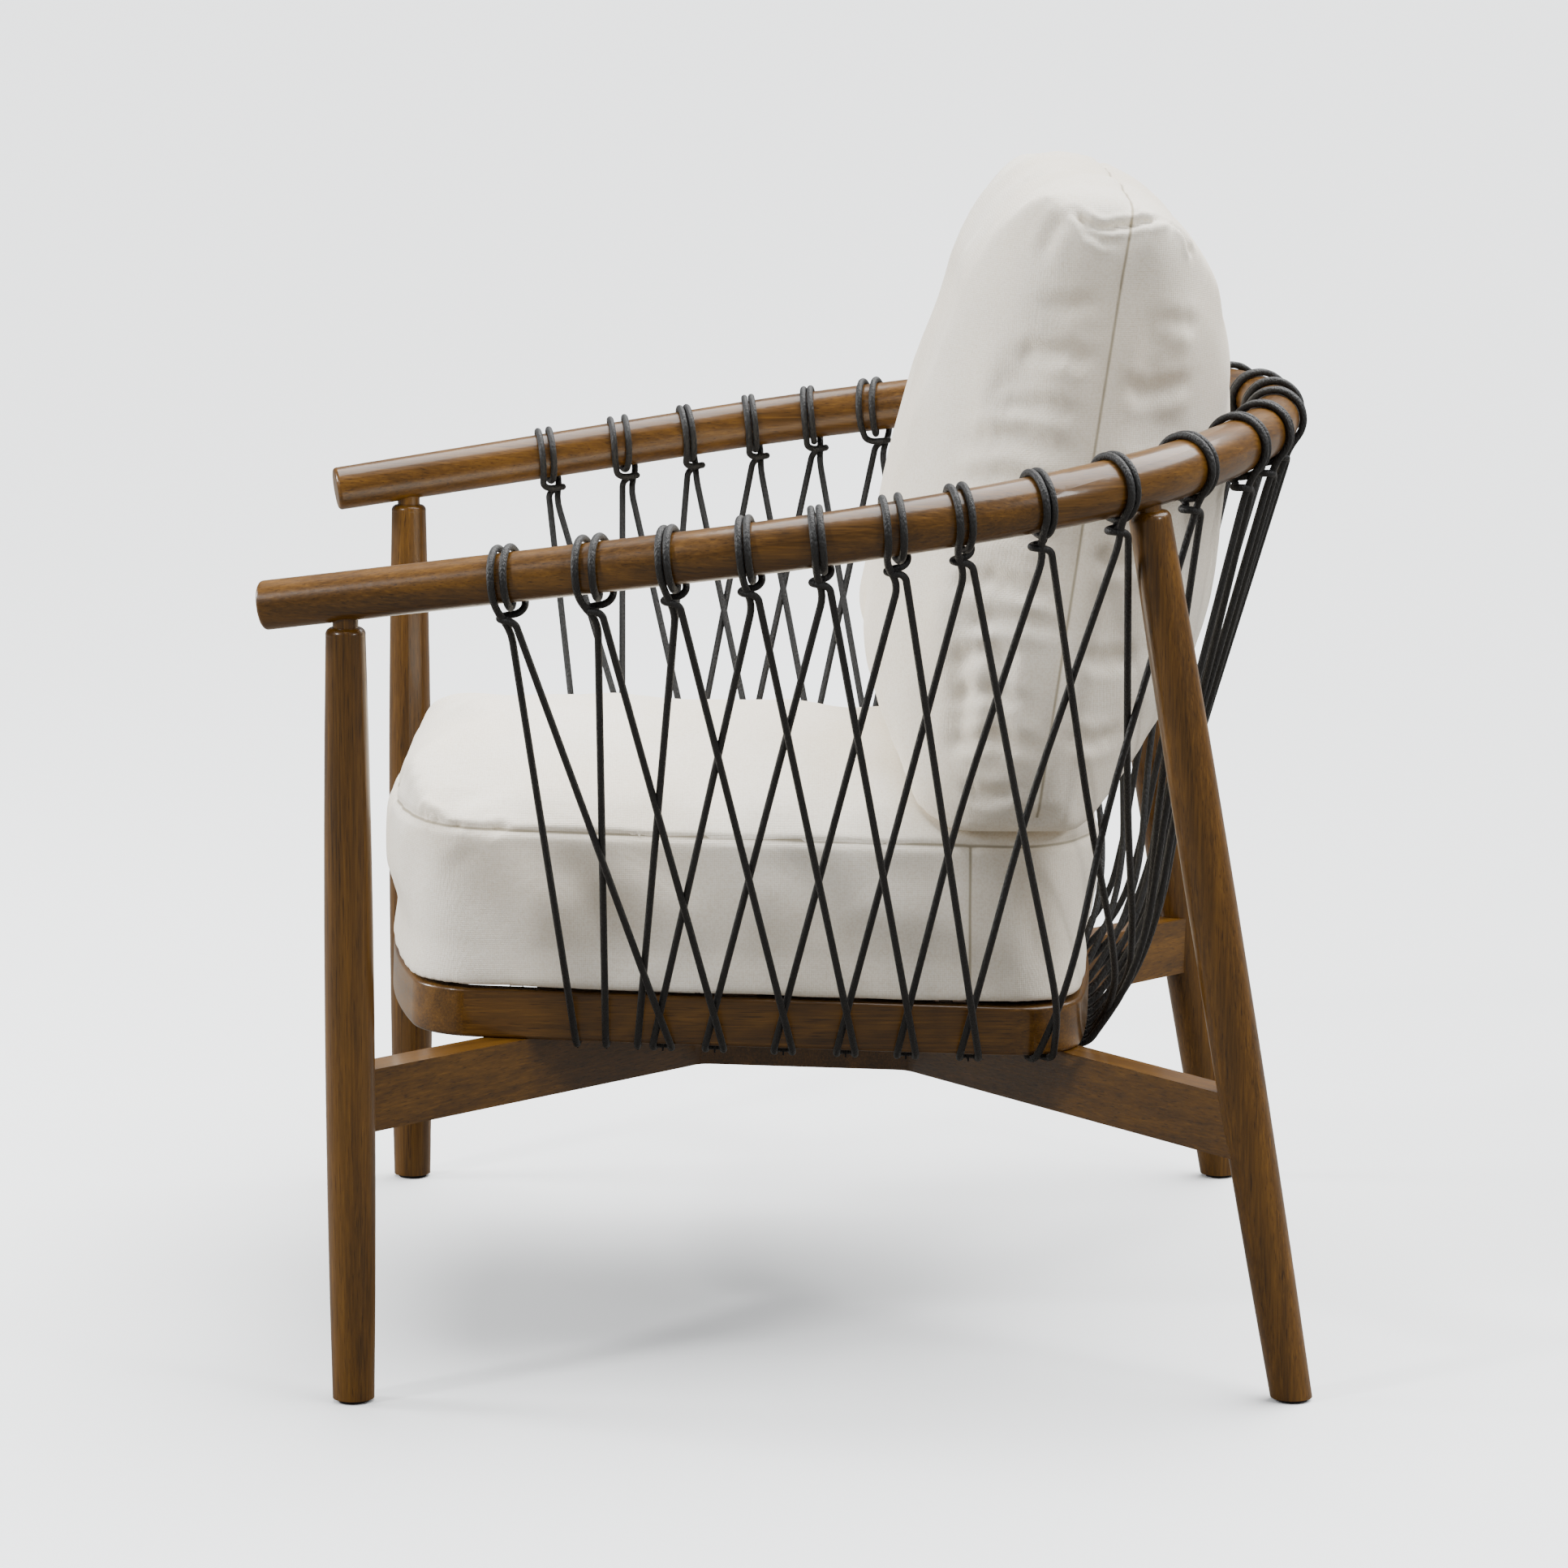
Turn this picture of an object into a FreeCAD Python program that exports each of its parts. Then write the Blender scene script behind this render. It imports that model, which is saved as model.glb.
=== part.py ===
import FreeCAD, Part
import math
import os

# Wooden armchair with a laced horseshoe rail and two loose cushions. Millimetres.
# The chair faces -Y, the sitter's left is +X, the floor is z = 0 and the origin is on the
# floor under the middle of the chair.

os.makedirs("parts", exist_ok=True)
V = FreeCAD.Vector
doc = FreeCAD.newDocument("wooden_armchair")

SIZES = {
    # the round rail lies in one plane that rises to the rear
    "rail_centre_height": 623.2,
    "rail_rise": 0.1387,
    "rail_end_x": 350.7,
    "rail_end_y": -379.2,
    "rail_splay": 10.83,
    "arm_straight": 300.7,
    "side_bend": 430.0,
    "side_turn": 32.65,
    "corner_bend": 246.0,
    "corner_turn": 34.33,
    "rail_joint": 553.0,
    "rail_end_dia": 34.7,
    "rail_joint_dia": 39.4,
    "rail_full_dia": 40.7,
    "rail_back_dia": 36.6,
    "rail_end_round": 3.0,
    "rail_dowel_dia": 12.0,
    "rail_dowel_length": 60.0,
    # turned legs, measured along their own axes
    "leg_foot_dia": 29.4,
    "leg_swell_dia": 34.8,
    "leg_shoulder_dia": 28.0,
    "leg_neck_dia": 18.0,
    "leg_tenon": 22.0,
    "leg_foot_round": 1.8,
    "front_shoulder": 552.0,
    "rear_shoulder": 637.0,
    "glide_dia": 22.0,
    "glide_thickness": 2.5,
    # the two bent boards and the seat frame share one slope, down to the rear
    "seat_slope": 0.033,
    "board_bottom": 185.8,
    "board_height": 45.2,
    "board_thickness": 26.0,
    "board_middle_x": 73.5,
    "board_front_bend": -80.3,
    "board_rear_bend": 85.5,
    "board_bend_radius": 30.0,
    "board_tenon_thickness": 12.0,
    "board_tenon_height": 26.0,
    "tie_y": 2.0,
    "tie_thickness": 28.0,
    "tie_dowel_dia": 8.0,
    "tie_dowel_length": 40.0,
    # seat frame
    "frame_height": 36.0,
    "frame_width": 32.0,
    "frame_round": 3.0,
    "frame_front_corner": 50.0,
    "frame_rear_corner": 60.0,
    "rebate_from_edge": 14.0,
    "rebate_depth": 5.0,
    "frame_dowel_dia": 8.0,
    "frame_dowel_length": 44.0,
    "frame_screw_dia": 5.0,
    "frame_screw_head": 10.0,
    "frame_screw_length": 68.0,
    # webbing
    "strap_width": 50.0,
    "strap_thickness": 2.0,
    "strap_wave": 1.05,
    # lacing
    "cord_dia": 5.2,
    "cord_gap": 0.15,
    "cord_splay": 7.5,
    "cord_crossing": 43.0,
    # cushions
    "cushion_gap": 0.5,
    "seat_cushion_height": 172.0,
    "seat_cushion_seam": 118.0,
    "seat_cushion_hem": 14.0,
    "back_cushion_width": 524.0,
    "back_cushion_height": 453.0,
    "back_cushion_sink": 37.0,
    "back_cushion_lean": 8.5,
    "back_cushion_y": 169.0,
    "cover_inside": 0.985,
    "fill_scale": 0.98,
}

sheet = doc.addObject("Spreadsheet::Sheet", "sizes")
for row, (word, value) in enumerate(SIZES.items(), start=1):
    sheet.set("A%d" % row, word)
    sheet.set("B%d" % row, str(value))
    sheet.setAlias("B%d" % row, word)
doc.recompute()


def size(word):
    """A driving dimension, read from the sheet."""
    return float(sheet.get(word))


NODES = {}


def keep(obj, name):
    """Names the finished sub-part, which is written to parts/name.step."""
    obj.Label = name
    NODES[name] = obj
    return obj


def turn_to(direction):
    """Rotation that carries +Z onto a direction."""
    return FreeCAD.Rotation(V(0, 0, 1), direction)


def bind(obj, **formulas):
    """Binds properties of an object to cells of the sheet."""
    for prop, formula in formulas.items():
        obj.setExpression(prop, formula)
    return obj


def cylinder(name, dia, length, foot, direction):
    """Cylinder from a foot point along a direction, its size bound to cells."""
    obj = doc.addObject("Part::Cylinder", name)
    bind(obj, Radius="sizes.%s / 2" % dia, Height="sizes.%s" % length)
    obj.Placement = FreeCAD.Placement(foot, turn_to(direction))
    return obj


def cut(name, base, *tools):
    """Base less every tool."""
    obj = doc.addObject("Part::Cut", name)
    obj.Base = base
    obj.Tool = tools[0] if len(tools) == 1 else fuse(name + "_tools", *tools)
    return obj


def fuse(name, *shapes):
    """All shapes made one."""
    obj = doc.addObject("Part::MultiFuse", name)
    obj.Shapes = list(shapes)
    return obj


def common(name, base, tool):
    """What two shapes share."""
    obj = doc.addObject("Part::Common", name)
    obj.Base = base
    obj.Tool = tool
    return obj


def group(name, pieces):
    """Identical fasteners, one separate solid each, in one node."""
    obj = doc.addObject("Part::Compound", name)
    obj.Links = pieces
    return keep(obj, name)


def computed(name, shape):
    """A sub-part whose shape is worked out here."""
    obj = doc.addObject("Part::Feature", name)
    obj.Shape = shape
    return obj


def origin_plane(body, role):
    return [f for f in body.Origin.OriginFeatures if f.Role == role][0]


def sketch_on(body, name, role, geometry):
    """Sketch of the given lines and arcs on one of a body's own planes."""
    sketch = body.newObject("Sketcher::SketchObject", name)
    sketch.AttachmentSupport = [(origin_plane(body, role), "")]
    sketch.MapMode = "FlatFace"
    for piece in geometry:
        sketch.addGeometry(piece, False)
    return sketch


def padded_body(name, geometry, height):
    """Body padded up from an outline in its own XY plane."""
    body = doc.addObject("PartDesign::Body", name)
    sketch = sketch_on(body, name + "_outline", "XY_Plane", geometry)
    pad = body.newObject("PartDesign::Pad", name + "_pad")
    pad.Profile = sketch
    pad.setExpression("Length", height)
    sketch.Visibility = False
    return body


def round_edges(body, name, radius, wanted):
    """Fillets the edges of a body that a test picks."""
    doc.recompute()
    base = body.Tip
    edges = base.Shape.Edges
    picked = ["Edge%d" % (i + 1) for i, edge in enumerate(edges) if wanted(edge)]
    fillet = body.newObject("PartDesign::Fillet", name)
    fillet.Base = (base, picked)
    fillet.setExpression("Radius", radius)
    doc.recompute()
    return fillet


# ---------------------------------------------------------------- the rail's curve

RAIL_TILT = FreeCAD.Placement(
    V(0, 0, size("rail_centre_height")),
    FreeCAD.Rotation(V(1, 0, 0), math.degrees(math.atan(size("rail_rise")))),
)


def rail_pieces():
    """Left half of the rail's centre line: a straight, then three arcs of growing turn.

    Each entry is (length, start point, start heading, radius), the heading in radians
    from +Y towards -X. The last arc ends square to the centre line of the chair.
    """
    heading = -math.radians(size("rail_splay"))
    point = V(size("rail_end_x"), size("rail_end_y"), 0)
    pieces = [(size("arm_straight"), point, heading, None)]
    point = point + V(-math.sin(heading), math.cos(heading), 0) * size("arm_straight")
    for bend, turn in (("side_bend", "side_turn"), ("corner_bend", "corner_turn"), (None, None)):
        if bend:
            radius, angle = size(bend), math.radians(size(turn))
        else:
            radius, angle = point.x / math.cos(heading), math.pi / 2 - heading
        pieces.append((radius * angle, point, heading, radius))
        centre = point - V(math.cos(heading), math.sin(heading), 0) * radius
        heading += angle
        point = centre + V(math.cos(heading), math.sin(heading), 0) * radius
    return pieces


RAIL = rail_pieces()
HALF_RAIL = sum(piece[0] for piece in RAIL)


def flat_rail(along):
    """Point and direction on the rail's centre line in the rail's own plane."""
    if along > HALF_RAIL:
        point, way = flat_rail(2 * HALF_RAIL - along)
        return V(-point.x, point.y, 0), V(way.x, -way.y, 0)
    for length, start, heading, radius in RAIL:
        if along <= length or radius == RAIL[-1][3]:
            break
        along -= length
    if radius is None:
        way = V(-math.sin(heading), math.cos(heading), 0)
        return start + way * along, way
    centre = start - V(math.cos(heading), math.sin(heading), 0) * radius
    heading += along / radius
    way = V(-math.sin(heading), math.cos(heading), 0)
    return centre + V(math.cos(heading), math.sin(heading), 0) * radius, way


def rail_at(along):
    """Point, direction and outward normal of the rail in the chair's frame."""
    point, way = flat_rail(along)
    turn = RAIL_TILT.Rotation
    return RAIL_TILT.multVec(point), turn.multVec(way), turn.multVec(V(way.y, -way.x, 0))


def rail_radius(along):
    """Radius of the rail, which swells from the front ends to the shoulders."""
    along = min(along, 2 * HALF_RAIL - along)
    stations = [0, size("rail_joint"), 0.65 * HALF_RAIL, HALF_RAIL]
    dias = [size("rail_end_dia"), size("rail_joint_dia"), size("rail_full_dia"), size("rail_back_dia")]
    for a, b, da, db in zip(stations, stations[1:], dias, dias[1:]):
        if along <= b:
            return (da + (db - da) * (along - a) / (b - a)) / 2
    return dias[-1] / 2


def rail_curve(start, end):
    """The rail's lines and arcs between two distances along it."""
    ends = [0]
    for piece in RAIL:
        ends.append(ends[-1] + piece[0])
    ends += [2 * HALF_RAIL - x for x in reversed(ends[:-1])]
    stops = [start] + [x for x in ends if start + 1 < x < end - 1] + [end]
    curve = []
    for a, b in zip(stops, stops[1:]):
        p, middle, q = flat_rail(a)[0], flat_rail((a + b) / 2)[0], flat_rail(b)[0]
        straight = abs((middle - p).cross(q - p).z) < 0.01
        curve.append(Part.LineSegment(p, q) if straight else Part.Arc(p, middle, q))
    return curve


def rail_length(name, start, end, sections):
    """One bent length of rail, swept through round sections bound to cells."""
    path = doc.addObject("Sketcher::SketchObject", name + "_path")
    for piece in rail_curve(start, end):
        path.addGeometry(piece, False)
    path.Placement = RAIL_TILT
    circles = []
    for number, (along, dia) in enumerate(sections):
        circle = doc.addObject("Part::Circle", "%s_section_%d" % (name, number))
        circle.setExpression("Radius", "sizes.%s / 2" % dia)
        point, way, _ = rail_at(along)
        circle.Placement = FreeCAD.Placement(point, turn_to(way))
        circles.append(circle)
    doc.recompute()
    sweep = doc.addObject("Part::Sweep", name + "_sweep")
    sweep.Sections = circles
    sweep.Spine = (path, ["Edge%d" % (i + 1) for i in range(len(path.Geometry))])
    sweep.Solid = True
    return sweep


# ------------------------------------------------------------------------ the legs


def leg_ends(side, rear):
    """Foot and head of a leg's axis: the head is the rail's centre above it."""
    if rear:
        return V(side * 347.5, 349.0, 0), V(side * 328.0, 238.3, 656.0)
    return V(side * 348.0, -319.0, 0), V(side * 362.0, -317.0, 579.0)


def leg_turning(name, side, rear):
    """Turned leg on its own axis: foot, long swell, rounded shoulder, neck and tenon."""
    foot, head = leg_ends(side, rear)
    axis = head - foot
    shoulder = size("rear_shoulder" if rear else "front_shoulder")
    shoulder_r, neck_r = size("leg_shoulder_dia") / 2, size("leg_neck_dia") / 2
    if rear:
        shoulder_r += 1.0
    top = axis.Length
    low = V(size("leg_foot_dia") / 2, -6, 0)
    swell = V(size("leg_swell_dia") / 2, shoulder * 0.36, 0)
    high = V(shoulder_r, shoulder, 0)
    neck = V(neck_r, shoulder + (shoulder_r - neck_r) * 1.1, 0)
    bulge = V((high.x + neck.x) / 2 + 1.3, (high.y + neck.y) / 2 + 1.3, 0)
    end = V(neck_r, top - rail_radius(640 if rear else 62) + size("leg_tenon"), 0)
    outline = [
        Part.LineSegment(V(0, low.y, 0), low),
        Part.Arc(low, swell, high),
        Part.Arc(high, bulge, neck),
        Part.LineSegment(neck, end),
        Part.LineSegment(end, V(0, end.y, 0)),
        Part.LineSegment(V(0, end.y, 0), V(0, low.y, 0)),
    ]
    body = doc.addObject("PartDesign::Body", name + "_turning")
    sketch = sketch_on(body, name + "_profile", "XZ_Plane", outline)
    spin = body.newObject("PartDesign::Revolution", name + "_spin")
    spin.Profile = sketch
    spin.ReferenceAxis = (sketch, ["V_Axis"])
    spin.Angle = 360
    body.Placement = FreeCAD.Placement(foot, turn_to(axis))
    return body


def floor_slab():
    """Everything below the top of the glides, which bevels the raked feet."""
    slab = doc.addObject("Part::Box", "floor_slab")
    bind(slab, Height="sizes.glide_thickness + 20")
    slab.Length = 1000
    slab.Width = 1000
    slab.Placement = FreeCAD.Placement(V(-500, -500, -20), FreeCAD.Rotation())
    return slab


def glide(name, side, rear):
    """Round plastic glide nailed under a foot."""
    foot, head = leg_ends(side, rear)
    obj = cylinder(name, "glide_dia", "glide_thickness", foot, V(0, 0, 1))
    return obj


# ----------------------------------------------------------------- boards and frame

SLOPE = -math.degrees(math.atan(size("seat_slope")))


def sloped(height):
    """Placement on the seat's slope at a height above the origin."""
    return FreeCAD.Placement(V(0, 0, height), FreeCAD.Rotation(V(1, 0, 0), SLOPE))


BOARD_PLACE = sloped(size("board_bottom"))
FRAME_PLACE = BOARD_PLACE.multiply(FreeCAD.Placement(V(0, 0, size("board_height")), FreeCAD.Rotation()))
BOARD_ENDS = (V(352.8, -323.0, 0), V(341.6, 313.7, 0))


def board_line(side):
    """Centre line of a bent board in plan, front leg to rear leg."""
    x = size("board_middle_x")
    points = [BOARD_ENDS[0], V(x, size("board_front_bend"), 0), V(x, size("board_rear_bend"), 0), BOARD_ENDS[1]]
    return [V(side * p.x, p.y, 0) for p in points]


def offset_line(points, distance):
    """A bent line moved sideways by a distance, its corners kept sharp."""
    ways = [(b - a).normalize() for a, b in zip(points, points[1:])]
    sides = [V(way.y, -way.x, 0) for way in ways]
    moved = [points[0] + sides[0] * distance]
    for point, one, two in zip(points[1:-1], sides, sides[1:]):
        middle = (one + two).normalize()
        moved.append(point + middle * (distance / middle.dot(one)))
    moved.append(points[-1] + sides[-1] * distance)
    return moved


def rounded(points, radii):
    """Open run of lines through points, each inner corner rounded by its radius."""
    pieces, last = [], points[0]
    for before, corner, after, radius in zip(points, points[1:], points[2:], radii):
        one, two = (before - corner).normalize(), (after - corner).normalize()
        half = one.getAngle(two) / 2
        reach = radius / math.tan(half)
        bisector = (one + two).normalize()
        middle = corner + bisector * (radius / math.sin(half) - radius)
        pieces.append(Part.LineSegment(last, corner + one * reach))
        pieces.append(Part.Arc(corner + one * reach, middle, corner + two * reach))
        last = corner + two * reach
    pieces.append(Part.LineSegment(last, points[-1]))
    return pieces


def bent_board(name, side):
    """Steam-bent board, padded from the plan of its two faces."""
    half = size("board_thickness") / 2
    radius = size("board_bend_radius")
    line = board_line(side)
    right, left = offset_line(line, half), offset_line(line, -half)
    inner, outer = radius - half, radius + half
    right_r, left_r = (inner, outer) if side > 0 else (outer, inner)
    outline = rounded(right, [right_r] * 2) + [Part.LineSegment(right[-1], left[-1])]
    outline += rounded(left[::-1], [left_r] * 2) + [Part.LineSegment(left[0], right[0])]
    body = padded_body(name, outline, "sizes.board_height")
    body.Placement = BOARD_PLACE
    return body


def board_tenon(name, side, end):
    """Tenon from the end of a board into the middle of its leg."""
    line = board_line(side)
    tip, inside = (line[0], line[1]) if end == 0 else (line[3], line[2])
    box = doc.addObject("Part::Box", name)
    bind(box, Width="sizes.board_tenon_thickness", Height="sizes.board_tenon_height")
    box.Length = 40
    way = (inside - tip).normalize()
    across = V(-way.y, way.x, 0)
    lift = (size("board_height") - size("board_tenon_height")) / 2
    corner = tip - across * (size("board_tenon_thickness") / 2) + V(0, 0, lift)
    turn = FreeCAD.Rotation(V(0, 0, 1), math.degrees(math.atan2(way.y, way.x)))
    box.Placement = BOARD_PLACE.multiply(FreeCAD.Placement(corner, turn))
    return box


def four_arcs(front, front_corner, rear, rear_corner, side):
    """Outline of bowed sides: each of front, rear and side is bowed by one arc.

    front and rear are the y of the bows' middles; the corners are (x, y) points; side is
    the half width at the middle.
    """
    fx, fy = front_corner
    rx, ry = rear_corner
    return [
        Part.Arc(V(-fx, fy, 0), V(0, front, 0), V(fx, fy, 0)),
        Part.Arc(V(fx, fy, 0), V(side, 20, 0), V(rx, ry, 0)),
        Part.Arc(V(rx, ry, 0), V(0, rear, 0), V(-rx, ry, 0)),
        Part.Arc(V(-rx, ry, 0), V(-side, 20, 0), V(-fx, fy, 0)),
    ]


FRAME_FRONT = -310.5
FRAME_FRONT_CORNER = (229.0, -276.0)
FRAME_REAR = 216.5
FRAME_REAR_CORNER = (236.5, 196.0)
FRAME_SIDE = 236.5


def frame_outline(inwards):
    """The frame's outline moved inwards by a distance."""
    d = inwards
    return four_arcs(
        FRAME_FRONT + d,
        (FRAME_FRONT_CORNER[0] - d, FRAME_FRONT_CORNER[1] + d),
        FRAME_REAR - d,
        (FRAME_REAR_CORNER[0] - d, FRAME_REAR_CORNER[1] - d),
        FRAME_SIDE - d,
    )


def upright(edge, front):
    """True for the upright corner edges at the front or at the rear."""
    box = edge.BoundBox
    standing = box.XLength < 0.1 and box.YLength < 0.1
    return standing and (box.YMin < 0) == front


def frame_body(name, inwards, height, lift):
    """Body over the frame's outline, moved inwards, with round corners."""
    body = padded_body(name, frame_outline(inwards), height)
    for front, cell in ((True, "frame_front_corner"), (False, "frame_rear_corner")):
        round_edges(
            body,
            "%s_%s" % (name, cell),
            "sizes.%s - %g" % (cell, inwards),
            lambda edge: upright(edge, front),
        )
    body.Placement = FRAME_PLACE.multiply(FreeCAD.Placement(V(0, 0, lift), FreeCAD.Rotation()))
    return body


def polygon_body(name, points, height):
    """Straight-sided body on the frame's slope."""
    corners = [V(x, y, 0) for x, y in points]
    sides = [Part.LineSegment(a, b) for a, b in zip(corners, corners[1:] + corners[:1])]
    body = padded_body(name, sides, height)
    body.Placement = FRAME_PLACE
    return body


# Joints of the frame: square across at the front, on a mitre round the rear corners.
FRONT_JOINT_Y = -247.0
MITRE_X, MITRE_Y, MITRE_SLOPE = 176.5, 138.0, 0.79


def seat_frame():
    """The four lengths of the seat frame, cut from one ring with a rebate for the webbing."""
    outer = frame_body("frame_outer", 0, "sizes.frame_height", 0)
    round_edges(outer, "frame_arris", "sizes.frame_round", lambda e: e.BoundBox.ZLength < 0.1)
    inner = frame_body("frame_inner", size("frame_width"), "sizes.frame_height + 10", -5)
    lift = size("frame_height") - size("rebate_depth")
    rebate = frame_body("frame_rebate", size("rebate_from_edge"), "sizes.rebate_depth + 5", lift)
    ring = cut("frame_ring", outer, inner, rebate)
    reach = 300
    far = MITRE_Y + (reach - MITRE_X) * MITRE_SLOPE
    front = [(-reach, -400), (reach, -400), (reach, FRONT_JOINT_Y), (-reach, FRONT_JOINT_Y)]
    rear = [(-MITRE_X, MITRE_Y), (MITRE_X, MITRE_Y), (reach, far), (reach, 400), (-reach, 400), (-reach, far)]
    left = [(0, FRONT_JOINT_Y), (reach, FRONT_JOINT_Y), (reach, far), (MITRE_X, MITRE_Y), (0, MITRE_Y)]
    right = [(-x, y) for x, y in reversed(left)]
    blocks = {"seat_front_rail": front, "seat_rear_rail": rear, "seat_left_rail": left, "seat_right_rail": right}
    dowels = frame_dowels()
    screws = frame_screws()
    group("seat_frame_dowels", dowels)
    group("seat_frame_screws", screws)
    for name, points in blocks.items():
        block = polygon_body(name + "_block", points, "sizes.frame_height + 1")
        keep(cut(name, common(name + "_blank", ring, block), *(dowels + screws)), name)
    return screws


def frame_dowels():
    """Two dowels across each of the frame's four joints."""
    half = size("frame_dowel_length") / 2
    slope = math.atan(MITRE_SLOPE)
    rear_x = MITRE_X + 44 * math.cos(slope)
    rear_y = MITRE_Y + 44 * math.sin(slope)
    joints = [(V(212, FRONT_JOINT_Y, 0), V(0, 1, 0)), (V(rear_x, rear_y, 0), V(-math.sin(slope), math.cos(slope), 0))]
    dowels = []
    for side in (1, -1):
        for point, way in joints:
            point, way = V(side * point.x, point.y, 0), V(side * way.x, way.y, 0)
            for level in (10.0, 23.0):
                foot = FRAME_PLACE.multVec(point - way * half + V(0, 0, level))
                name = "frame_dowel_%d" % len(dowels)
                way_up = FRAME_PLACE.Rotation.multVec(way)
                dowels.append(cylinder(name, "frame_dowel_dia", "frame_dowel_length", foot, way_up))
    return dowels


SCREW_POINTS = [(218.0, -206.0), (198.0, 191.0)]


def frame_screws():
    """Countersunk screws up through the boards into the frame."""
    screws = []
    for side in (1, -1):
        for x, y in SCREW_POINTS:
            name = "frame_screw_%d" % len(screws)
            foot = BOARD_PLACE.multVec(V(side * x, y, 0))
            up = BOARD_PLACE.Rotation.multVec(V(0, 0, 1))
            shank = cylinder(name + "_shank", "frame_screw_dia", "frame_screw_length", foot, up)
            head = doc.addObject("Part::Cone", name + "_head")
            bind(head, Radius1="sizes.frame_screw_head / 2", Radius2="sizes.frame_screw_dia / 2")
            head.Height = 3
            head.Placement = FreeCAD.Placement(foot, turn_to(up))
            screws.append(fuse(name, shank, head))
    return screws


# ------------------------------------------------------------------------- webbing

LONG_STRAPS = [(-150.0, -265.0, 182.0), (-52.0, -287.0, 195.0), (52.0, -287.0, 195.0), (150.0, -265.0, 182.0)]
CROSS_STRAPS = [(-195.0, 208.0), (-115.0, 217.0), (-35.0, 219.0), (45.0, 220.0), (118.0, 214.0)]


def strap(start, end, crossings, over):
    """Woven strap along X, over and under the straps it crosses, as a solid."""
    half = size("strap_thickness") / 2
    floor = size("frame_height") - size("rebate_depth")
    level = floor + half + size("strap_wave") + 0.05
    flat = size("strap_width") / 2 + 1
    line = [(start, floor + half + 0.02)]
    for number, place in enumerate(crossings):
        rise = size("strap_wave") * (1 if (number + over) % 2 else -1)
        line += [(place - flat, level + rise), (place + flat, level + rise)]
    line.append((end, floor + half + 0.02))
    line.insert(1, (start + 20, line[0][1]))
    line.insert(-1, (end - 20, line[0][1]))
    line = [line[0]] + [p for p, q in zip(line[1:], line) if p[0] > q[0] + 0.5]
    edge = [V(x, 0, z + half) for x, z in line] + [V(x, 0, z - half) for x, z in reversed(line)]
    face = Part.Face(Part.makePolygon(edge + edge[:1]))
    solid = face.extrude(V(0, size("strap_width"), 0))
    solid.translate(V(0, -size("strap_width") / 2, 0))
    return solid


def webbing():
    """Four straps front to rear and five across, woven, lying in the frame's rebate."""
    long_solids, cross_solids, ends = [], [], []
    long_places = [x for x, _, _ in LONG_STRAPS]
    cross_places = [y for y, _ in CROSS_STRAPS]
    for number, (x, start, end) in enumerate(LONG_STRAPS):
        solid = strap(start, end, cross_places, number)
        solid.Placement = FreeCAD.Placement(V(x, 0, 0), FreeCAD.Rotation(V(0, 0, 1), 90))
        long_solids.append(solid)
        ends += [(x, start + 8, 0), (x, end - 8, 0)]
    for number, (y, reach) in enumerate(CROSS_STRAPS):
        solid = strap(-reach, reach, long_places, number + 1)
        solid.Placement = FreeCAD.Placement(V(0, y, 0), FreeCAD.Rotation())
        cross_solids.append(solid)
        ends += [(-reach + 7, y, 90), (reach - 7, y, 90)]
    for name, solids in (("webbing_long_straps", long_solids), ("webbing_cross_straps", cross_solids)):
        keep(computed(name, Part.makeCompound(solids).transformed(FRAME_PLACE.toMatrix())), name)
    floor = size("frame_height") - size("rebate_depth") + size("strap_thickness")
    staples = []
    for x, y, turn in ends:
        for shift in (-15, 15):
            spin = FreeCAD.Rotation(V(0, 0, 1), turn)
            place = FreeCAD.Placement(V(x, y, floor) + spin.multVec(V(shift, 0, 0)), spin)
            staples.append(staple(10.0, 0.9, 7.0).transformed(place.toMatrix()))
    solids = Part.makeCompound(staples).transformed(FRAME_PLACE.toMatrix())
    keep(computed("webbing_staples", solids), "webbing_staples")


def staple(width, wire, depth):
    """Wire staple: a crown along X just above z = 0 and two legs down."""
    crown = Part.makeBox(width, wire, wire, V(-width / 2, -wire / 2, 0.1))
    legs = [
        Part.makeBox(wire, wire, depth + 0.1 + wire / 2, V(x, -wire / 2, -depth))
        for x in (-width / 2, width / 2 - wire)
    ]
    return crown.multiFuse(legs).removeSplitter()


# -------------------------------------------------------------------------- lacing

# Distances from the rail's front end to each wrap on the left half, and from the middle
# of the rear edge to each turn under the frame, both measured along the wood.
WRAPS = [176, 238, 293, 347, 396, 448, 495, 553, 617, 700, 790, 855, 935]
TURNS = [576, 554, 532, 514, 476, 426, 380, 337, 292, 238, 166, 129, 92, 55, 18]
LOOSE_WRAPS = {0: 9.0, 1: 12.0, 5: 11.0, 6: 9.0}

# How far the seat cushion pushes the strands out, by turn counted from the front.
PUSHED_OUT = {7: 3.0, 8: 9.0, 9: 18.0, 10: 23.0, 11: 25.0, 12: 25.0, 13: 25.0, 14: 25.0}
PUSHED_AT = [(190.0, 0.55), (90.0, 1.0), (43.0, 0.8)]

EDGE_POINTS = 1200


def frame_edge():
    """Closely spaced points round the flat bottom of the frame, from the rear middle
    towards the left side, with the distance along the edge at each."""
    ring = doc.getObject("frame_outer").Shape
    down = FRAME_PLACE.Rotation.multVec(V(0, 0, -1))
    flats = [f for f in ring.Faces if f.Surface.TypeId == "Part::GeomPlane"]
    bottom = max(flats, key=lambda f: f.CenterOfMass.dot(down))
    back = FRAME_PLACE.inverse()
    points = [back.multVec(p) for p in bottom.OuterWire.discretize(EDGE_POINTS)[:-1]]
    first = max(range(len(points)), key=lambda i: points[i].y - abs(points[i].x))
    points = points[first:] + points[:first]
    if points[20].x < 0:
        points = points[:1] + points[:0:-1]
    return points


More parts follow.
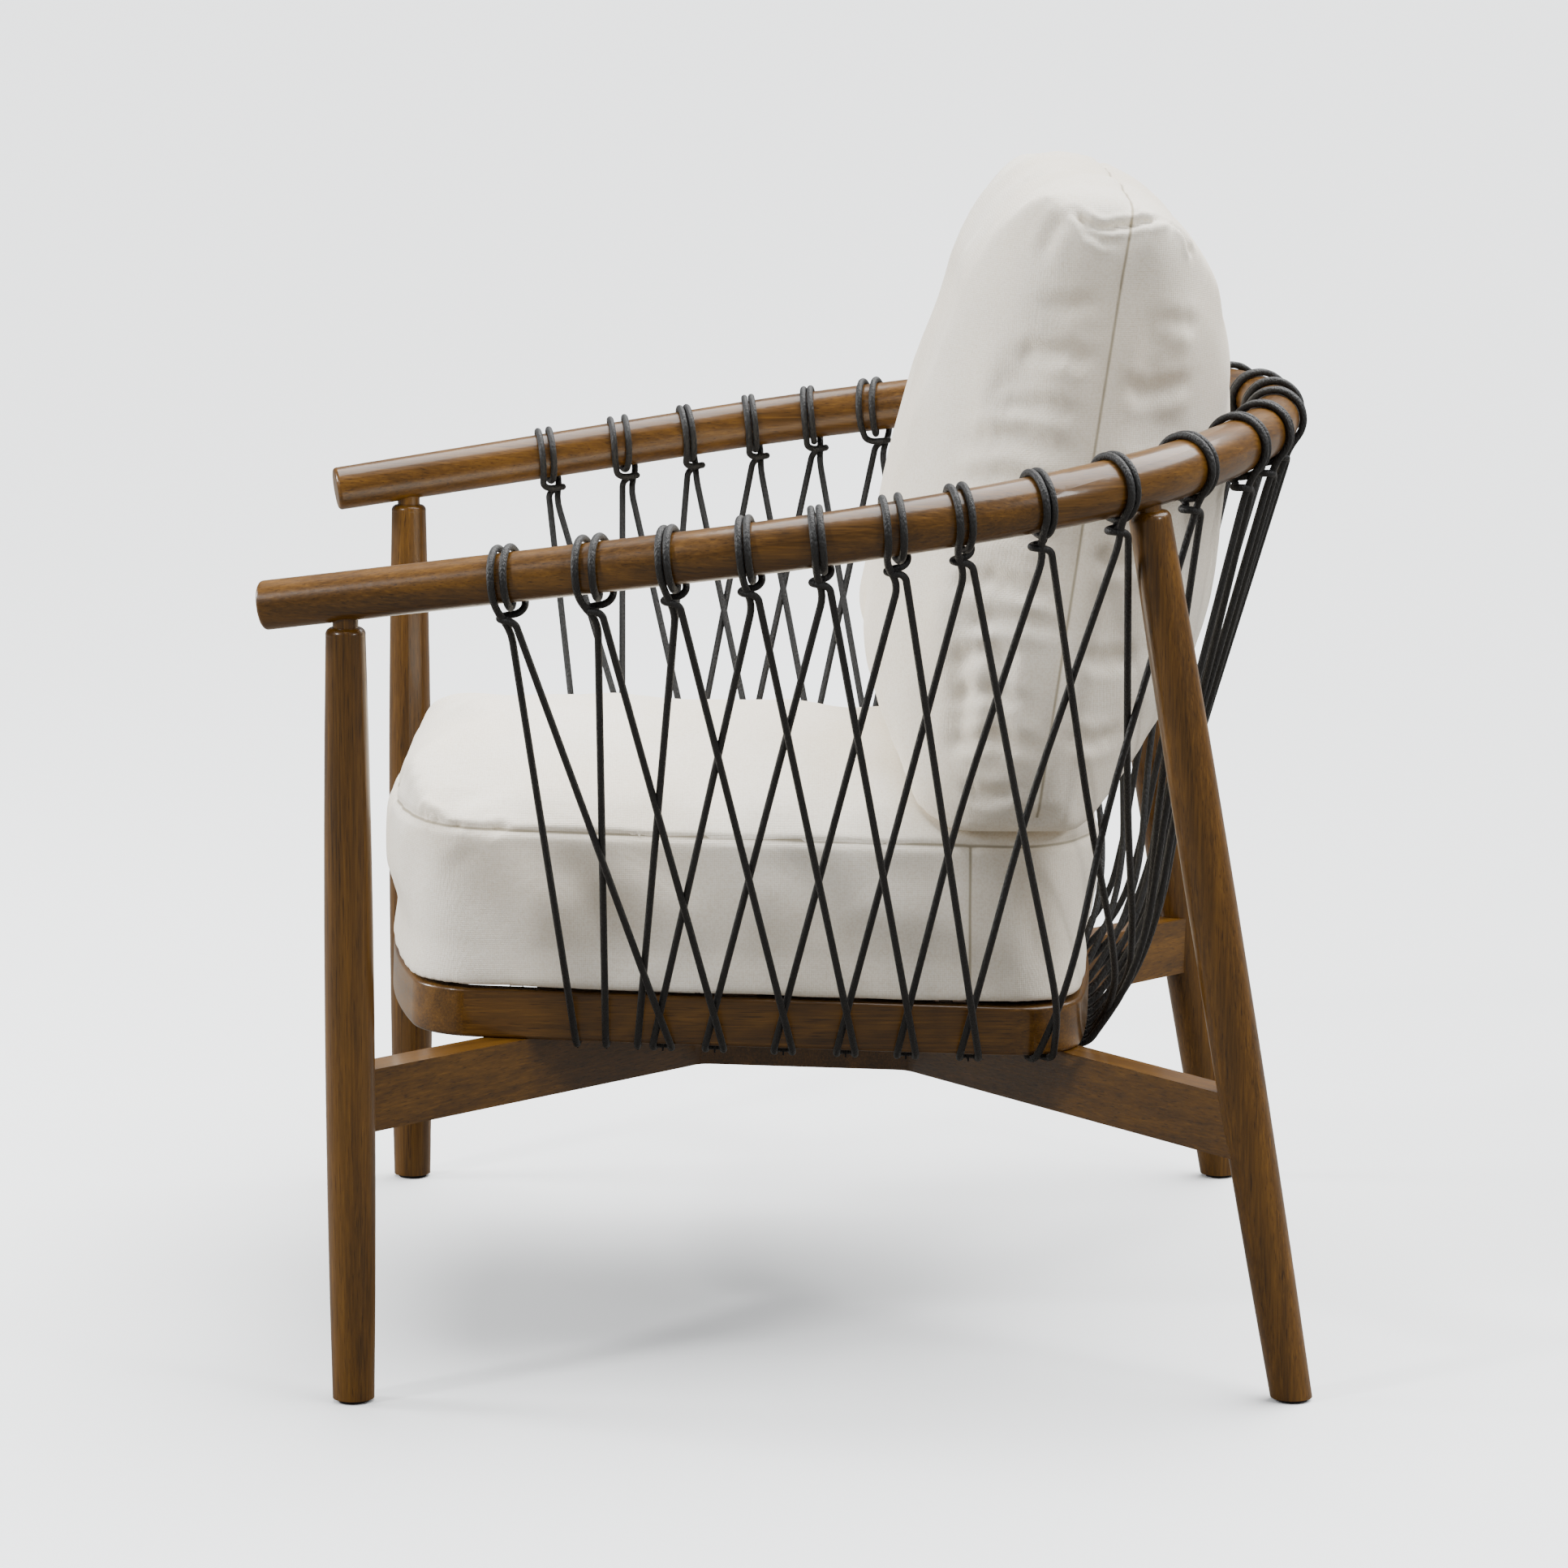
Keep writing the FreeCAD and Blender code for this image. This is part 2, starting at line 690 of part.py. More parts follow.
def lacing_places():
    """Every wrap on the rail and every turn under the frame, left front round to right front."""
    points = frame_edge()
    step = sum((b - a).Length for a, b in zip(points, points[1:])) / (len(points) - 1)

    def under(along):
        number = int(round(along / step))
        here, after = points[number % len(points)], points[(number + 1) % len(points)]
        way = (here - after).normalize()
        return here, way, V(way.y, -way.x, 0)

    wraps = [rail_at(x) for x in WRAPS] + [rail_at(HALF_RAIL)] + [rail_at(2 * HALF_RAIL - x) for x in WRAPS[::-1]]
    radii = [rail_radius(x) for x in WRAPS + [HALF_RAIL] + WRAPS[::-1]]
    turns = [under(x) for x in TURNS] + [under(-x) for x in TURNS[::-1]]
    return wraps, radii, turns


def wrap_points(wrap, radius, pitch):
    """Two turns round the rail and a hitch beneath it, as the corners of the cord's route.

    The cord comes up under the rail, goes up outside, over and down inside twice, passes
    behind its own rising strand and leaves outside it.
    """
    centre, way, out = wrap
    up = way.cross(out) * -1
    if up.z < 0:
        up = up * -1
    reach = (radius + size("cord_dia") / 2 + size("cord_gap")) / math.cos(math.pi / 8)
    strand = size("cord_dia") + 0.4
    low = -(radius + size("cord_dia"))

    def place(o, a, u):
        return centre + out * o + way * a + up * u

    route = [place(0, -2.0, low - 14)]
    for eighth in range(1, 16):
        angle = math.radians(45 * eighth - 22.5)
        along = pitch * (eighth / 8 - 1)
        route.append(place(reach * math.sin(angle), along, -reach * math.cos(angle)))
    hitch = 8.5
    route.append(place(-strand, min(pitch * 0.94 + 1, hitch), low - 2.9))
    route.append(place(-strand, -hitch, low - 3.6))
    route.append(place(strand, -hitch, low - 4.4))
    route.append(place(strand, 3.0, low - 7.0))
    return route


def turn_points(turn, sign, tail=False):
    """One strand's way under the frame's edge: outside the edge, then in under it."""
    here, way, out = turn
    splay, r = size("cord_splay") * sign, size("cord_dia") / 2
    outside = here + way * splay + out * (size("frame_round") + r + 0.9) + V(0, 0, -r - 0.15)
    inside = here + way * (splay * 0.62) - out * (17.0 if tail else 12.0) + V(0, 0, -r - 0.15)
    return [FRAME_PLACE.multVec(outside), FRAME_PLACE.multVec(inside)]


def bowed(low, high, out, push, over):
    """Points of a strand between two places, pushed out by a cushion, and over its neighbour."""
    run = high - low
    if not push:
        return [low + run * (size("cord_crossing") / run.z) + out * over] if over else []
    points = [low + run * (rise / run.z) + out * (push * share) for rise, share in PUSHED_AT]
    points[-1] += out * over
    return points[::-1]


def tube(name, corners):
    """Round cord along runs joined by tangent arcs, as large as the runs allow."""
    r = size("cord_dia") / 2
    edges, last, radii = [], corners[0], []
    for before, corner, after in zip(corners, corners[1:], corners[2:]):
        one, two = before - corner, after - corner
        shorter = min(one.Length, two.Length)
        one.normalize()
        two.normalize()
        turn = math.pi - one.getAngle(two)
        if turn < 0.01:
            continue
        reach = 0.46 * shorter
        radius = reach / math.tan(turn / 2)
        radii.append(radius)
        middle = corner + (one + two).normalize() * (radius / math.cos(turn / 2) - radius)
        begin, end = corner + one * reach, corner + two * reach
        edges += [Part.LineSegment(last, begin).toShape(), Part.Arc(begin, middle, end).toShape()]
        last = end
    edges.append(Part.LineSegment(last, corners[-1]).toShape())
    path = Part.Wire(edges)
    circle = Part.Circle(corners[0], corners[1] - corners[0], r)
    solid = path.makePipeShell([Part.Wire([circle.toShape()])], True, True)
    expected = math.pi * r * r * path.Length
    print("%s: %.2f m long, radii %.1f to %.0f mm, volume %.4f of section times length"
          % (name, path.Length / 1000, min(radii), max(radii), solid.Volume / expected))
    assert abs(solid.Volume / expected - 1) < 0.01 and min(radii) > r
    return solid


def lacing():
    """Three continuous cords. Each goes up to one wrap in three, down three turns further on."""
    wraps, radii, turns = lacing_places()
    count = len(wraps)
    for first, name in enumerate(("lacing_cord_first", "lacing_cord_second", "lacing_cord_third")):
        route = turn_points(turns[first], 0, True)[::-1]
        for k in range(first, count, 3):
            mirrored = min(k, count - 1 - k)
            pitch = LOOSE_WRAPS.get(mirrored, size("cord_dia") + 0.5)
            route += wrap_points(wraps[k], radii[k], pitch)
            last = k + 3 >= count
            down = turn_points(turns[k + 3], 0 if last else 1, last)
            out = FRAME_PLACE.Rotation.multVec(turns[k + 3][2])
            push = PUSHED_OUT.get(min(k + 3, len(turns) - 4 - k), 0.0)
            route += bowed(down[0], route[-1], out, push, size("cord_dia") + 0.3)[::-1] + down
            if not last:
                rise = turn_points(turns[k + 3], -1)
                route += rise[::-1] + bowed(rise[0], wraps[k + 3][0], out, push, 0.0)
        keep(computed(name, tube(name, route)), name)
    staples = []
    for here, way, out in turns:
        turn = FreeCAD.Rotation(V(0, 0, 1), math.degrees(math.atan2(out.y, out.x)))
        flip = turn.multiply(FreeCAD.Rotation(V(1, 0, 0), 180))
        place = FreeCAD.Placement(here - out * 12.5 + V(0, 0, -size("cord_dia") - 0.2), flip)
        staples.append(staple(12.0, 1.2, 8.0).transformed(place.toMatrix()))
    solids = Part.makeCompound(staples).transformed(FRAME_PLACE.toMatrix())
    keep(computed("lacing_staples", solids), "lacing_staples")


# ------------------------------------------------------------------------ cushions


def covered(name, core_name, solid):
    """A cushion's cover, hollow, and its filling, a little smaller than the hollow."""
    middle = solid.BoundBox.Center
    hollow, core = solid.copy(), solid.copy()
    hollow.scale(size("cover_inside"), middle)
    core.scale(size("fill_scale"), middle)
    keep(computed(name, solid.cut(hollow)), name)
    keep(computed(core_name, core), core_name)


def seat_cushion():
    """Boxed seat cushion on the seat frame, crowned from side to side and rounded in front."""
    front, rear, side = -317.0, 221.0, 243.0
    outline = four_arcs(front, (236.0, -284.0), rear, (239.0, 200.0), side)
    body = padded_body("seat_cushion_body", outline, "sizes.seat_cushion_height")
    for is_front, cell in ((True, "sizes.frame_front_corner + 8"), (False, "sizes.frame_rear_corner + 4")):
        round_edges(body, "cushion_corner_%d" % is_front, cell, lambda edge: upright(edge, is_front))
    hem = lambda edge: edge.BoundBox.ZMax < 0.1
    round_edges(body, "cushion_hem", "sizes.seat_cushion_hem", hem)
    top, seam = size("seat_cushion_height"), size("seat_cushion_seam")
    crown = [
        Part.LineSegment(V(-300, -10, 0), V(300, -10, 0)),
        Part.LineSegment(V(300, -10, 0), V(300, seam - 32, 0)),
        Part.Arc(V(300, seam - 32, 0), V(0, top, 0), V(-300, seam - 32, 0)),
        Part.LineSegment(V(-300, seam - 32, 0), V(-300, -10, 0)),
    ]
    round_front = [
        Part.LineSegment(V(front - 5, -10, 0), V(rear + 5, -10, 0)),
        Part.LineSegment(V(rear + 5, -10, 0), V(rear + 5, seam, 0)),
        Part.Arc(V(rear + 5, seam, 0), V(rear - 14, top - 18, 0), V(rear - 60, top - 2, 0)),
        Part.Arc(V(rear - 60, top - 2, 0), V(-60, top + 1, 0), V(front + 62, top, 0)),
        Part.Arc(V(front + 62, top, 0), V(front + 15, top - 19, 0), V(front - 5, seam, 0)),
        Part.LineSegment(V(front - 5, seam, 0), V(front - 5, -10, 0)),
    ]
    doc.recompute()
    solid = body.Shape.common(prism(crown, FreeCAD.Rotation(V(1, 0, 0), 90), 400))
    solid = solid.common(prism(round_front, FreeCAD.Rotation(V(1, 1, 1), 120), 400))
    lift = size("frame_height") + size("cushion_gap")
    place = FRAME_PLACE.multiply(FreeCAD.Placement(V(0, 0, lift), FreeCAD.Rotation()))
    solid.Placement = place.multiply(solid.Placement)
    covered("seat_cushion_cover", "seat_cushion_foam", solid)
    above = prism(crown, FreeCAD.Rotation(V(1, 0, 0), 90), 400)
    above.Placement = place.multiply(above.Placement)
    above.translate(V(0, 0, size("cushion_gap") + 0.6))
    return above


def arcs(points):
    """Arcs through every second point."""
    run = [V(x, y, 0) for x, y in points]
    return [Part.Arc(run[i], run[i + 1], run[i + 2]) for i in range(0, len(run) - 2, 2)]


def mirrored_arcs(points):
    """The same for one half and its mirror image, joined by level lines."""
    levels = [Part.LineSegment(V(x, y, 0), V(-x, y, 0)) for x, y in (points[0], points[-1])]
    return arcs(points) + arcs([(-x, y) for x, y in points]) + levels


def prism(curve, plane_turn, length):
    """Solid extruded both ways from a closed curve in a turned XY plane."""
    face = Part.Face(Part.Wire(Part.__sortEdges__([c.toShape() for c in curve])))
    solid = face.extrude(V(0, 0, 2 * length))
    solid.translate(V(0, 0, -length))
    solid.Placement = FreeCAD.Placement(V(0, 0, 0), plane_turn).multiply(solid.Placement)
    return solid


def back_cushion(seat_crown):
    """Knife-edged back cushion: what its section, plan and front outlines share above the seat."""
    tall, wide = size("back_cushion_height"), size("back_cushion_width") / 2
    section = [(80, 5), (57, 55), (54, 140), (70, 250), (104, 361), (130, 415), (172, tall - 7),
               (200, tall), (232, tall - 11), (280, 408), (302, 350), (308, 280), (303, 200),
               (290, 120), (250, 42), (215, 7), (150, 0), (110, 0), (80, 5)]
    section_solid = prism(arcs(section), FreeCAD.Rotation(V(1, 1, 1), 120), 300)
    fore = [V(x, y, 0) for x, y in ((142, 0), (128, 130), (97, 196), (72, 232), (14, wide))]
    aft = [V(x, y, 0) for x, y in ((-116, 0), (-93, 130), (-62, 196), (-38, 232), (-14, wide))]
    curve = [Part.LineSegment(V(14, s * wide, 0), V(-14, s * wide, 0)) for s in (1, -1)]
    for arc in (fore, aft):
        for s in (1, -1):
            mirrored = [V(p.x, s * p.y, 0) for p in arc]
            curve += [Part.Arc(*mirrored[:3]), Part.Arc(*mirrored[2:])]
    plan_solid = prism(curve, FreeCAD.Rotation(V(0, 0, 1), -90), 600)
    lean = FreeCAD.Rotation(V(1, 0, 0), -size("back_cushion_lean"))
    plan_solid.Placement = FreeCAD.Placement(V(0, size("back_cushion_y"), 0), lean).multiply(plan_solid.Placement)
    front = [(wide - 40, 0), (wide - 10, 10), (wide, 50), (wide - 6, tall / 2), (wide - 2, tall - 60),
             (wide - 12, tall - 22), (wide - 52, tall - 9), (wide - 150, tall - 2), (0.5, tall + 1)]
    front_solid = prism(mirrored_arcs(front), FreeCAD.Rotation(V(1, 0, 0), 90), 500)
    solid = section_solid.common(plan_solid).common(front_solid)
    rest = size("frame_height") + size("cushion_gap") + size("seat_cushion_height")
    seat_top = FRAME_PLACE.multVec(V(0, size("back_cushion_y"), rest)).z
    solid.translate(V(0, 0, seat_top - size("back_cushion_sink")))
    covered("back_cushion_cover", "back_cushion_fill", solid.cut(seat_crown))


# -------------------------------------------------------------------------- assembly


def wood_and_joints():
    """Legs, boards, rail and their tenons and dowels."""
    slab = floor_slab()
    boards = {1: bent_board("left_board", 1), -1: bent_board("right_board", -1)}
    turnings, tenons, glides = {}, {}, []
    for side, hand in ((1, "left"), (-1, "right")):
        for rear, end in ((False, "front"), (True, "rear")):
            name = "%s_%s_leg" % (end, hand)
            turnings[side, rear] = leg_turning(name, side, rear)
            tenons[side, rear] = board_tenon(name + "_tenon", side, int(rear))
            keep(cut(name, turnings[side, rear], slab, tenons[side, rear]), name)
            glides.append(glide(name + "_glide", side, rear))
    group("leg_glides", glides)
    screws = seat_frame()
    tie, dowels = stretcher_tie()
    for side, hand in ((1, "left"), (-1, "right")):
        name = hand + "_stretcher"
        legs = [turnings[side, False], turnings[side, True]]
        coped = cut(name + "_coped", boards[side], *(legs + screws + dowels))
        keep(fuse(name, coped, tenons[side, False], tenons[side, True]), name)
    rail_dowels = []
    for side, along in ((1, size("rail_joint")), (-1, 2 * HALF_RAIL - size("rail_joint"))):
        point, way, _ = rail_at(along)
        foot = point - way * (size("rail_dowel_length") / 2)
        rail_dowels.append(cylinder("rail_dowel_%d" % (side > 0), "rail_dowel_dia", "rail_dowel_length", foot, way))
    group("rail_dowels", rail_dowels)
    joint, whole = size("rail_joint"), 2 * HALF_RAIL
    arm = [(0, "rail_end_dia"), (joint, "rail_joint_dia")]
    swell = 0.65 * HALF_RAIL
    back = [(joint, "rail_joint_dia"), (swell, "rail_full_dia"), (HALF_RAIL, "rail_back_dia"),
            (whole - swell, "rail_full_dia"), (whole - joint, "rail_joint_dia")]
    left = rail_length("left_arm", 0, joint, arm)
    right = rail_length("right_arm", whole - joint, whole, [(whole - x, dia) for x, dia in reversed(arm)])
    middle = rail_length("back", joint, whole - joint, back)
    pieces = {
        "left_arm_rail": (left, turnings[1, False], rail_dowels[0]),
        "right_arm_rail": (right, turnings[-1, False], rail_dowels[1]),
        "back_rail": (middle, turnings[1, True], turnings[-1, True], rail_dowels[0], rail_dowels[1]),
    }
    for name, (base, *tools) in pieces.items():
        blank = cut(name + "_bored", base, *tools)
        keep(rounded_end(name, blank) if name != "back_rail" else blank, name)


def rounded_end(name, rail):
    """The square front end of an arm with its arris rounded."""
    doc.recompute()
    edges = rail.Shape.Edges
    foremost = min(range(len(edges)), key=lambda i: edges[i].BoundBox.YMax)
    fillet = doc.addObject("Part::Fillet", name + "_round")
    fillet.Base = rail
    fillet.Edges = [(foremost + 1, size("rail_end_round"), size("rail_end_round"))]
    return fillet


def stretcher_tie():
    """Short cross piece between the boards, dowelled at both ends."""
    gap = 2 * (size("board_middle_x") - size("board_thickness") / 2)
    block = doc.addObject("Part::Box", "tie_block")
    bind(block, Width="sizes.tie_thickness", Height="sizes.board_height")
    block.Length = gap
    corner = V(-gap / 2, size("tie_y") - size("tie_thickness") / 2, 0)
    block.Placement = BOARD_PLACE.multiply(FreeCAD.Placement(corner, FreeCAD.Rotation()))
    dowels = []
    for side in (1, -1):
        for level in (13.0, 32.0):
            start = V(side * (gap / 2 - 20), size("tie_y"), level)
            name = "tie_dowel_%d" % len(dowels)
            foot = BOARD_PLACE.multVec(start)
            dowels.append(cylinder(name, "tie_dowel_dia", "tie_dowel_length", foot, V(side, 0, 0)))
    group("tie_dowels", dowels)
    tie = keep(cut("stretcher_tie", block, *dowels), "stretcher_tie")
    return tie, dowels


wood_and_joints()
doc.recompute()
webbing()
lacing()
back_cushion(seat_cushion())
doc.recompute()

for obj in doc.Objects:
    assert not {"Invalid", "Error"} & set(obj.State), (obj.Name, obj.State)
for name, obj in NODES.items():
    assert not obj.Shape.isNull() and obj.Shape.isValid() and obj.Shape.Solids, name
whole = Part.makeCompound([obj.Shape for obj in NODES.values()]).BoundBox
print("whole:", whole)
for name, obj in NODES.items():
    obj.Shape.exportStep("parts/%s.step" % name)
    print("%-24s %3d solids %9.1f cm3" % (name, len(obj.Shape.Solids), obj.Shape.Volume / 1000))
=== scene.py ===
# %% [markdown]
# # A laced wooden armchair
# A low armchair: a round walnut rail in three pieces, shaped like a horseshoe, turned legs, a bowed
# seat frame on two bent boards, sides and back laced with black cord, and two loose cushions. The
# woodwork comes from the CAD model with every piece in place. This lesson gives it finishes, makes
# the cushions by cloth simulation, and lights it as in a studio.

# %% Load the frame
import bpy
import math

import numpy as np
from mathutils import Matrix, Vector


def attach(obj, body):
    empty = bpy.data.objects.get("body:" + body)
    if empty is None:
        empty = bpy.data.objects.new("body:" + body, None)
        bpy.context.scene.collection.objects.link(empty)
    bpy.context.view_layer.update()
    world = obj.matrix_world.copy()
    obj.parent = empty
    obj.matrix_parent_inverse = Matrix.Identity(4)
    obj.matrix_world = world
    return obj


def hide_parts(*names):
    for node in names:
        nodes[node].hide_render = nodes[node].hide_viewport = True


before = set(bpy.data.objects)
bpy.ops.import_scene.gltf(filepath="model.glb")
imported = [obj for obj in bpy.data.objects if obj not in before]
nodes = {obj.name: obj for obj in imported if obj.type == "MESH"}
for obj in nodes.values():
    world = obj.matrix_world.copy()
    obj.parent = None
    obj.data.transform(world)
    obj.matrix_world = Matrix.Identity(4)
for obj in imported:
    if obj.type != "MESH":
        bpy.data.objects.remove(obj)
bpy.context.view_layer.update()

# %% [markdown]
# The camera stands on the sitter's left, 1.1 m above the floor, and looks slightly down through a
# long lens, so the far arm looks less than a fifth smaller than the near one. `to_track_quat`
# turns the camera so that its view axis follows the direction we give it.

# %% Camera
PITCH = math.radians(9.486)
YAW = math.radians(0.109)
STAND = (4.4237, -0.0204, 1.1257)
way = Vector((-math.cos(PITCH) * math.cos(YAW), math.cos(PITCH) * math.sin(YAW), -math.sin(PITCH)))
bpy.ops.object.camera_add(location=STAND, rotation=way.to_track_quat("-Z", "Y").to_euler())
camera = bpy.context.object
camera.data.lens = 135.6
camera.data.sensor_width = 36
bpy.context.scene.camera = camera
print("camera at", tuple(round(c, 3) for c in camera.location))

# %% [markdown]
# Colours are given as sRGB hex values, as a paint chart would, and turned to linear light once.
# One helper adds a node, sets its values and links its inputs, so that a material reads from top
# to bottom like a recipe.


# %% Colour and node helpers
def colour(code):
    """Linear RGBA from an sRGB hex value such as '7d5427'."""
    parts = [int(code[i : i + 2], 16) / 255 for i in (0, 2, 4)]
    return tuple(c / 12.92 if c <= 0.04045 else ((c + 0.055) / 1.055) ** 2.4 for c in parts) + (1.0,)


def add(material, kind, inputs=None, **settings):
    """Adds a node; inputs maps socket names or numbers to values or to other nodes' outputs."""
    tree = material.node_tree
    node = tree.nodes.new("ShaderNode" + kind)
    for name, value in settings.items():
        setattr(node, name, value)
    for socket, value in (inputs or {}).items():
        if isinstance(value, bpy.types.NodeSocket):
            tree.links.new(value, node.inputs[socket])
        else:
            node.inputs[socket].default_value = value
    return node


def ramp(material, factor, stops):
    """Colour ramp from (place, hex colour) stops."""
    node = add(material, "ValToRGB", {"Fac": factor})
    elements = node.color_ramp.elements
    while len(elements) < len(stops):
        elements.new(0.5)
    for element, (place, code) in zip(elements, stops):
        element.position = place
        element.color = colour(code)
    return node.outputs["Color"]


def new_material(name):
    """Empty material with its Principled shader and output joined."""
    material = bpy.data.materials.new(name)
    material.use_nodes = True
    material.node_tree.nodes.clear()
    shader = add(material, "BsdfPrincipled")
    add(material, "OutputMaterial", {"Surface": shader.outputs[0]})
    return material, shader


def link(material, source, shader, socket):
    material.node_tree.links.new(source, shader.inputs[socket])


def finish_with(material, *names):
    """Gives a CAD piece its material."""
    for name in names:
        nodes[name].data.materials.clear()
        nodes[name].data.materials.append(material)


# %% [markdown]
# The floor is a plain pale sheet, large enough to fill the view, since the camera looks down.
# It throws back less light than it shows the camera, as if black flags stood beside it, so the
# undersides stay deep.

# %% Floor
bpy.ops.object.select_all(action="DESELECT")
bpy.ops.mesh.primitive_plane_add(size=60, location=(-10, 0, 0))
floor = bpy.context.object
floor.name = "studio_floor"
paper, shader = new_material("matt_studio_paper")
seen = add(paper, "LightPath").outputs["Is Camera Ray"]
tone = add(paper, "MixRGB", {"Fac": seen, "Color1": colour("65625d"), "Color2": colour("f6f8f9")})
link(paper, tone.outputs[0], shader, "Base Color")
shader.inputs["Roughness"].default_value = 0.7
shader.inputs["Specular IOR Level"].default_value = 0.2
floor.data.materials.append(paper)
print("floor made")

# %% [markdown]
# A wide soft light from above, tilted 25 degrees towards the chair's far rear, gives bright level
# faces and darker upright ones, and keeps the floor even. A small box high in front throws the
# cords' shadows on the cushion's side, a weaker one behind draws the second shadow on the floor,
# and a larger, lower one in front shows the roundness of the back cushion.


# %% Lights
def soft_box(name, place, aim, size, watts):
    turn = (Vector(aim) - Vector(place)).to_track_quat("-Z", "Y").to_euler()
    bpy.ops.object.light_add(type="AREA", location=place, rotation=turn)
    light = bpy.context.object
    light.name = name
    light.data.shape = "RECTANGLE"
    light.data.size, light.data.size_y = size
    light.data.energy = watts


soft_box("key", (2.3, -2.9, 3.0), (0, 0, 0.45), (0.45, 0.45), 90)
soft_box("rear_side", (2.2, 2.6, 2.2), (0, 0, 0.45), (0.6, 0.6), 34)
soft_box("front", (-0.4, -3.2, 1.7), (0, 0, 0.55), (1.0, 1.0), 110)
bpy.ops.object.light_add(type="SUN", location=(0, 0, 3), rotation=(math.radians(-20), math.radians(-16), 0))
bpy.context.object.name = "overhead"
bpy.context.object.data.angle = math.radians(70)
bpy.context.object.data.energy = 9.5
world = bpy.data.worlds.new("soft_white")
bpy.context.scene.world = world
world.use_nodes = True
background = world.node_tree.nodes["Background"]
background.inputs["Color"].default_value = (0.93, 0.96, 1.0, 1)
background.inputs["Strength"].default_value = 0.3

# %% [markdown]
# The rail, legs and boards are walnut with a satin lacquer. Walnut shows long streaks that follow
# the stick, broader bands of lighter and darker wood, and short dark pores under a millimetre
# wide and 25 mm long. The grain must follow each piece, so the pattern's coordinates are turned
# first: along a leg it is Z, along a side Y, across the front X, round the bent back the angle about
# the chair's middle, and on the boards the mirrored diagonal. Lacquer gives a coat over the wood.


# %% Walnut
BEND_REACH = 0.37  # turns the angle round the bent back into metres


def along_grain(material, run):
    """Coordinates whose X runs with the grain: Z, Y, X, bend or boards."""
    place = add(material, "TexCoord").outputs["Object"]
    parts = add(material, "SeparateXYZ", {0: place})
    x, y, z = parts.outputs
    if run == "Z":
        order = (z, x, y)
    elif run == "Y":
        order = (y, x, z)
    elif run == "X":
        order = (x, y, z)
    elif run == "bend":
        angle = add(material, "Math", {0: x, 1: y}, operation="ARCTAN2").outputs[0]
        flat = add(material, "CombineXYZ", {0: x, 1: y}).outputs[0]
        reach = add(material, "VectorMath", {0: flat}, operation="LENGTH").outputs["Value"]
        along = add(material, "Math", {0: angle, 1: BEND_REACH}, operation="MULTIPLY").outputs[0]
        order = (along, reach, z)
    else:
        ax = add(material, "Math", {0: x}, operation="ABSOLUTE").outputs[0]
        ay = add(material, "Math", {0: y}, operation="ABSOLUTE").outputs[0]
        along = add(material, "Math", {0: ax, 1: ay}, operation="ADD").outputs[0]
        across = add(material, "Math", {0: ax, 1: ay}, operation="SUBTRACT").outputs[0]
        order = (along, across, z)
    return add(material, "CombineXYZ", dict(enumerate(order))).outputs[0]


def walnut(name, run, seed):
    """Lacquered walnut with its grain along one run."""
    material, shader = new_material(name)
    grain = along_grain(material, run)
    moved = add(material, "Mapping", {"Vector": grain, "Location": (seed, seed * 0.7, seed * 1.3)})
    moved = moved.outputs[0]
    # broad bands 17 mm across and 0.33 m long
    bands = add(material, "Mapping", {"Vector": moved, "Scale": (3.0, 60.0, 60.0)}).outputs[0]
    bands = add(material, "TexNoise", {"Vector": bands, "Scale": 1.0, "Detail": 3.0, "Distortion": 0.6})
    # fine streaks 1.7 mm across and 60 mm long
    streaks = add(material, "Mapping", {"Vector": moved, "Scale": (16.0, 600.0, 600.0)}).outputs[0]
    streaks = add(material, "TexNoise", {"Vector": streaks, "Scale": 1.0, "Detail": 4.0, "Roughness": 0.65})
    # pores under 1 mm across and 25 mm long
    pores = add(material, "Mapping", {"Vector": moved, "Scale": (40.0, 1300.0, 1300.0)}).outputs[0]
    pores = add(material, "TexNoise", {"Vector": pores, "Scale": 1.0, "Detail": 1.0}).outputs[0]
    band_colour = ramp(material, bands.outputs[0], [(0.3, "3f2809"), (0.5, "5a3b0f"), (0.72, "7c5519")])
    streak_colour = ramp(material, streaks.outputs[0], [(0.3, "2a1a06"), (0.55, "5d3d10"), (0.8, "8a611f")])
    mixed = add(material, "MixRGB", {"Fac": 0.5, "Color1": band_colour, "Color2": streak_colour}).outputs[0]
    dark = ramp(material, pores, [(0.60, "ffffff"), (0.72, "85796a")])
    mixed = add(material, "MixRGB", {"Fac": 0.7, "Color1": mixed, "Color2": dark}, blend_type="MULTIPLY")
    link(material, mixed.outputs[0], shader, "Base Color")
    rough = add(material, "MapRange", {"Value": streaks.outputs[0], "To Min": 0.26, "To Max": 0.42})
    link(material, rough.outputs[0], shader, "Roughness")
    bump = add(material, "Bump", {"Strength": 0.12, "Distance": 0.0006, "Height": streaks.outputs[0]})
    link(material, bump.outputs[0], shader, "Normal")
    shader.inputs["Specular IOR Level"].default_value = 0.3
    shader.inputs["Coat Weight"].default_value = 0.35
    shader.inputs["Coat Roughness"].default_value = 0.12
    return material


